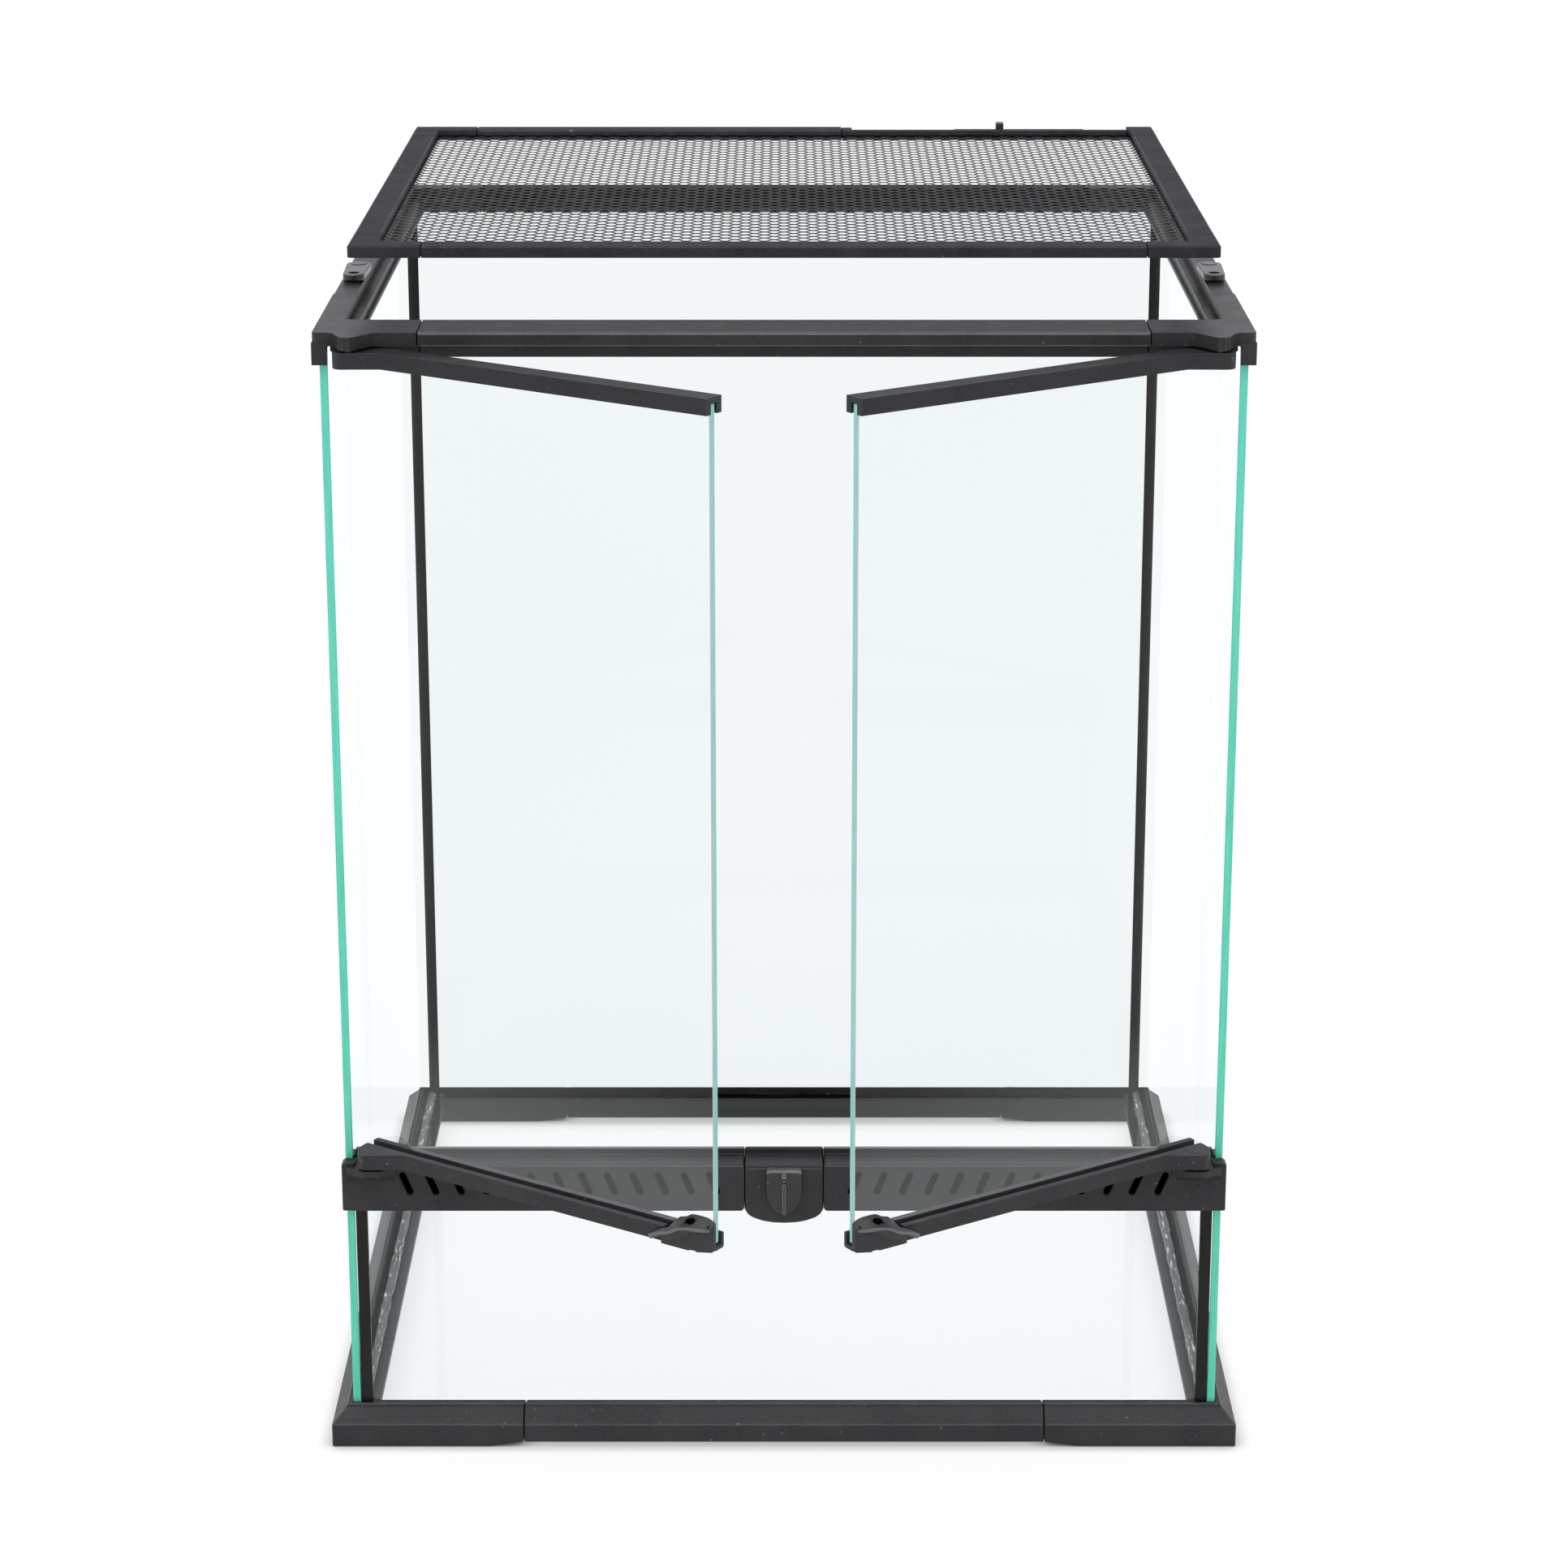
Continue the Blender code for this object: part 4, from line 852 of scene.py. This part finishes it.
# the raised block and the pip are drawn wholly in the paler highlight plastic
prism(bm, block, FRONT - 0.0010, FRONT + 0.0014, on_y, 0.0005, 3, material=1)
prism(bm, [(p[0], p[1] + 0.0031) for p in arc(0, 0, 0.0008, 0, 330, 11)], FRONT - 0.0008, FRONT + 0.0014, on_y, 0.0005, 3, material=1)
prism(bm, arc(0, 0, 0.0050, 0, 345, 23), -0.0036, -0.0006, on_y, 0.0003, 1)
prism(bm, arc(0, 0, 0.0022, 0, 345, 23), -0.0030, 0.0070, on_y, 0.0003, 1)
place_piece(bm, "lock_knob.moulded", [HARDWARE, HARD_HIGHLIGHT], KNOB, ["lock_knob"], sharp=55)


# ---------------------------------------------------------------- door catches
def smooth_path(points, n):
    """Points on a Catmull-Rom curve through the given ones, by even parameter."""
    pts = [Vector(p) for p in points]
    pts = [pts[0] * 2 - pts[1]] + pts + [pts[-1] * 2 - pts[-2]]
    out = []
    for i in range(n + 1):
        t = i / n * (len(pts) - 3)
        k = min(int(t), len(pts) - 4)
        t -= k
        p0, p1, p2, p3 = pts[k:k + 4]
        out.append(0.5 * ((2 * p1) + (p2 - p0) * t + (2 * p0 - 5 * p1 + 4 * p2 - p3) * t * t + (3 * p1 - p0 - 3 * p2 + p3) * t ** 3))
    return out


CATCH_Z = 0.1572
for s, xname in SIDE.items():
    m = -s
    bm = bmesh.new()
    # wall in front of the glass, rising to the finger plate; its lower edge has a small notch
    wall = [(0.1802, 0.0002), (0.1802, 0.0052), (0.1830, 0.0098), (0.1870, 0.0138), (0.1920, 0.0152), (0.2070, 0.0157), (0.2084, 0.0148), (0.2084, 0.0010), (0.2078, 0.0002), (0.2010, 0.0002), (0.2004, 0.0008), (0.1975, 0.0008), (0.1968, 0.0002)]
    wall = [(m * u, CATCH_Z + v) for u, v in rounded(wall, 0.0006, 3)]

    def sloped(p):
        """The finger plate and the wall under it fall towards the front."""
        k = max(0.0, min(1.0, (p.z - CATCH_Z - 0.0045) / 0.0100))
        return Vector((p.x, p.y, p.z - 0.0050 * max(0.0, min(1.0, (0.0077 - p.y) / 0.0074)) * k * k * (3 - 2 * k)))

    def curved(p):
        """The free end bows back to the glass."""
        k = max(0.0, min(1.0, (abs(p.x) - 0.1975) / 0.0109))
        return Vector((p.x, p.y + max(0.0, 0.0077 - p.y) * 0.66 * k * k, p.z))

    prism(bm, wall, 0.0006, 0.0077, lambda u, v, w: sloped(curved(on_y(u, v, w))), 0.0005, 3)
    # shoe under the glass and the small hook behind it
    shoe = rounded([(0.0070, 0.0002), (0.0138, 0.0002), (0.0145, 0.0012), (0.0145, 0.0078), (0.0141, 0.0086), (0.0131, 0.0086), (0.0125, 0.0078), (0.0125, 0.0026), (0.0070, 0.0026)], 0.0005, 3)
    # finger plate: a dished leaf on top that sweeps down past the rail as a lever
    path = smooth_path([(0.2085, 0.0156), (0.2030, 0.0164), (0.1965, 0.0164), (0.1915, 0.0155), (0.1872, 0.0130), (0.1836, 0.0098), (0.1802, 0.0068), (0.1768, 0.0044), (0.1734, 0.0028)], 36)
    rings = []
    for i, p in enumerate(path):
        t = i / 36
        x, z = p.x, p.y
        q = path[min(i + 1, 36)] - path[max(i - 1, 0)]
        nrm = Vector((q.y, -q.x)).normalized()
        if nrm.y < 0:
            nrm = -nrm
        round_end = min(1.0, (1 - (1 - min(1, t / 0.14)) ** 2) ** 0.5 * 0.55 + 0.45) if t < 0.14 else 1.0
        tip = 1.0 if t < 0.86 else max(0.0, 1 - ((t - 0.86) / 0.14) ** 2) ** 0.5 * 0.75 + 0.25
        y0 = 0.0003 - 0.0019 * max(0.0, min(1, (t - 0.22) / 0.28)) ** 1.2
        back = 0.0077 if t < 0.30 else 0.0077 - 0.0046 * min(1, (t - 0.30) / 0.25)
        mid, half = (y0 + back) / 2, (back - y0) / 2 * round_end * tip
        thick = 0.0011 + 0.0005 * max(0.0, min(1.0, (t - 0.45) / 0.35))
        ring = []
        for a_deg in range(0, 360, 20):
            ca, sa = cos(radians(a_deg)), sin(radians(a_deg))
            u = mid + half * (abs(ca) ** 0.55) * (1 if ca >= 0 else -1)
            h = thick * (abs(sa) ** 0.7) * (1 if sa >= 0 else -1)
            if sa > 0:
                h -= 0.00045 * (1 - ((u - mid) / max(half, 1e-6)) ** 2) * (1 if t < 0.75 else 0.4)
            at = Vector((m * (x + nrm.x * h), u, CATCH_Z + z + nrm.y * h))
            low = Vector((at.x, at.y, CATCH_Z + z))
            ring.append(at + sloped(low) - low + curved(low) - low)
        rings.append(ring)
    body = bare(bm)
    leaf = bmesh.new()
    faces = loft(leaf, rings)
    # the leaf's border faces take the paler plastic: a painted highlight
    for i, f in enumerate(faces[:-2]):
        f.material_index = 1 if i % 18 in (7, 8, 9, 17) else 0
    leaf_obj = bare(leaf)
    hole = bmesh.new()
    cx, cy = m * 0.1958, 0.0042
    rings = [[sloped(Vector((cx + r * cos(radians(k * 18)) * 1.25, cy + r * sin(radians(k * 18)), CATCH_Z + 0.0165))) + Vector((0, 0, dz)) for k in range(20)] for dz, r in
             ((-0.0050, 0.0019), (0.0000, 0.0019), (0.0007, 0.0022), (0.0030, 0.0030))]
    loft(hole, rings)
    copy = hole.copy()
    boolean(leaf_obj, hole)
    boolean(body, copy)
    bm = taken(body)
    other = taken(leaf_obj)
    mesh = bpy.data.meshes.new("leaf")
    other.to_mesh(mesh)
    other.free()
    bm.from_mesh(mesh)
    bpy.data.meshes.remove(mesh)
    a, b = sorted((m * 0.1802, m * 0.2084))
    prism(bm, [(u, CATCH_Z + v) for u, v in shoe], a, b, on_x, 0.0004, 3)
    # the finger hole's walls take the near-black cavity plastic: painted shade
    for f in bm.faces:
        c = f.calc_center_median()
        if hypot((c.x - cx) / 1.25, c.y - cy) < 0.00196 and CATCH_Z + 0.006 < c.z < CATCH_Z + 0.0166:
            f.material_index = 2
    place_piece(bm, f"door_catch_{xname}.moulded", [HARDWARE, HARD_HIGHLIGHT, CAVITY_SHADE], DOOR[s], [f"door_catch_{xname}"], sharp=48)

# ---------------------------------------------------------------- latches
for s, xname in SIDE.items():
    for y, yname in ((-0.0620, "front"), (0.1300, "rear")):
        r, reach = 0.0065, 0.0330
        plan = arc(0, 0, r, 0, 180, 16) + arc(0, -reach + 0.0056, 0.0056, 186, 354, 16)
        bm = bmesh.new()
        prism(bm, plan, 0.0008, 0.0043, on_z, 0.0006, 4, rim=2)
        latch = bare(bm, [HARDWARE, LATCH_SHADED_SIDE, HARD_HIGHLIGHT])
        hole = bmesh.new()
        rings = [[Vector((rr * cos(radians(k * 15)), -reach + 0.0062 + rr * sin(radians(k * 15)), z)) for k in range(24)] for z, rr in
                 ((0.0014, 0.0028), (0.0037, 0.0028), (0.0041, 0.0029), (0.0044, 0.0033), (0.0060, 0.0038))]
        loft(hole, rings)
        boolean(latch, hole)
        bm = taken(latch)
        prism(bm, arc(0, 0, 0.0042, 0, 345, 23), 0.0041, 0.0046, on_z, 0.0003, 3)
        prism(bm, arc(0, 0, 0.0021, 0, 345, 23), -0.0030, 0.0012, on_z, 0.0003, 1)
        # the hole's walls take painted shade; of the other faces, the upright sides take the darker copy (painted
        # shade), the upper rim rounding keeps the painted highlight, and the rest the lighter copy (painted light)
        for f in bm.faces:
            c = f.calc_center_median()
            if hypot(c.x, c.y + reach - 0.0062) < 0.00285 and 0.0012 < c.z < 0.0041:
                f.material_index = 3
            elif f.material_index != 2 or c.z < 0.003:
                f.material_index = 1 if abs(f.normal.z) < 0.5 and 0.0010 < c.z < 0.0040 else 0
        spot = TANK @ Matrix.Translation((s * 0.2210, y, HEIGHT))
        place_piece(bm, f"latch_{yname}_{xname}.moulded", [LATCH_LIT_TOP, LATCH_SHADED_SIDE, HARD_HIGHLIGHT, CAVITY_SHADE], spot, [f"latch_{yname}_{xname}"], sharp=50)

# ---------------------------------------------------------------- lid screen
PITCH_X, PITCH_Y = 0.00975, 0.00910
TIP, FLAT, RISE = 0.00345, 0.00105, 0.00335        # half length, half flat and half height of one opening
THICK = 0.00029


def screen(x0, x1, y0, y1, z):
    """Expanded metal: staggered hexagonal openings, flat bonds, each strand leaning a little."""
    hexagon = [(TIP, 0), (FLAT, RISE), (-FLAT, RISE), (-TIP, 0), (-FLAT, -RISE), (FLAT, -RISE)]
    rim = [(PITCH_X / 2, 0), (0, PITCH_Y / 2), (-PITCH_X / 2, 0), (0, -PITCH_Y / 2)]
    bm = bmesh.new()
    known = {}

    def vert(x, y, dz):
        key = (round(x * 1e6), round(y * 1e6))
        if key not in known:
            known[key] = bm.verts.new((x, y, z + dz))
        return known[key]

    nx, ny = int((x1 - x0) / PITCH_X) + 3, int((y1 - y0) / PITCH_Y) + 3
    cx, cy = (x0 + x1) / 2, (y0 + y1) / 2
    for i in range(-nx, nx + 1):
        for j in range(-ny, ny + 1):
            if (i + j) % 2:
                continue
            ox, oy = cx + i * PITCH_X / 2, cy + j * PITCH_Y / 2
            if not (x0 - PITCH_X < ox < x1 + PITCH_X and y0 - PITCH_Y < oy < y1 + PITCH_Y):
                continue
            h = [vert(ox + u, oy + v, 0.00003 * (-1 if v < 0 else 1 if v > 0 else 0)) for u, v in hexagon]
            r, t, l, b = [vert(ox + u, oy + v, 0) for u, v in rim]
            for quad in ((r, t, h[1], h[0]), (t, h[2], h[1]), (t, l, h[3], h[2]), (l, b, h[4], h[3]), (b, h[5], h[4]), (b, r, h[0], h[5])):
                bm.faces.new(quad)
    for co, no in (((x0, 0, 0), (-1, 0, 0)), ((x1, 0, 0), (1, 0, 0)), ((0, y0, 0), (0, -1, 0)), ((0, y1, 0), (0, 1, 0))):
        bmesh.ops.bisect_plane(bm, geom=bm.verts[:] + bm.edges[:] + bm.faces[:], plane_co=co, plane_no=no, dist=1e-7, clear_outer=True)
    bmesh.ops.recalc_face_normals(bm, faces=bm.faces)
    if bm.faces and sum(f.normal.z for f in bm.faces) < 0:
        bmesh.ops.reverse_faces(bm, faces=bm.faces)
    border = [e for e in bm.edges if e.is_boundary]
    top = bm.faces[:]
    twin = {v: bm.verts.new(v.co - Vector((0, 0, THICK))) for v in bm.verts[:]}
    for f in top:
        bm.faces.new([twin[v] for v in reversed(f.verts)])
    for e in border:
        loop = e.link_loops[0]
        a, b = loop.vert, loop.link_loop_next.vert
        bm.faces.new((b, a, twin[a], twin[b]))
    return bm


v = 0.014 - 0.0035 + 0.0003
bm = screen(-0.2135 + v, 0.2135 - v, -0.1930 + v, 0.2135 - v, -0.0035)
net = place_piece(bm, "lid_screen.expanded", [MESH_PAINT], LID, ["lid_screen"], sharp=30, weighted=False)
net.visible_shadow = False
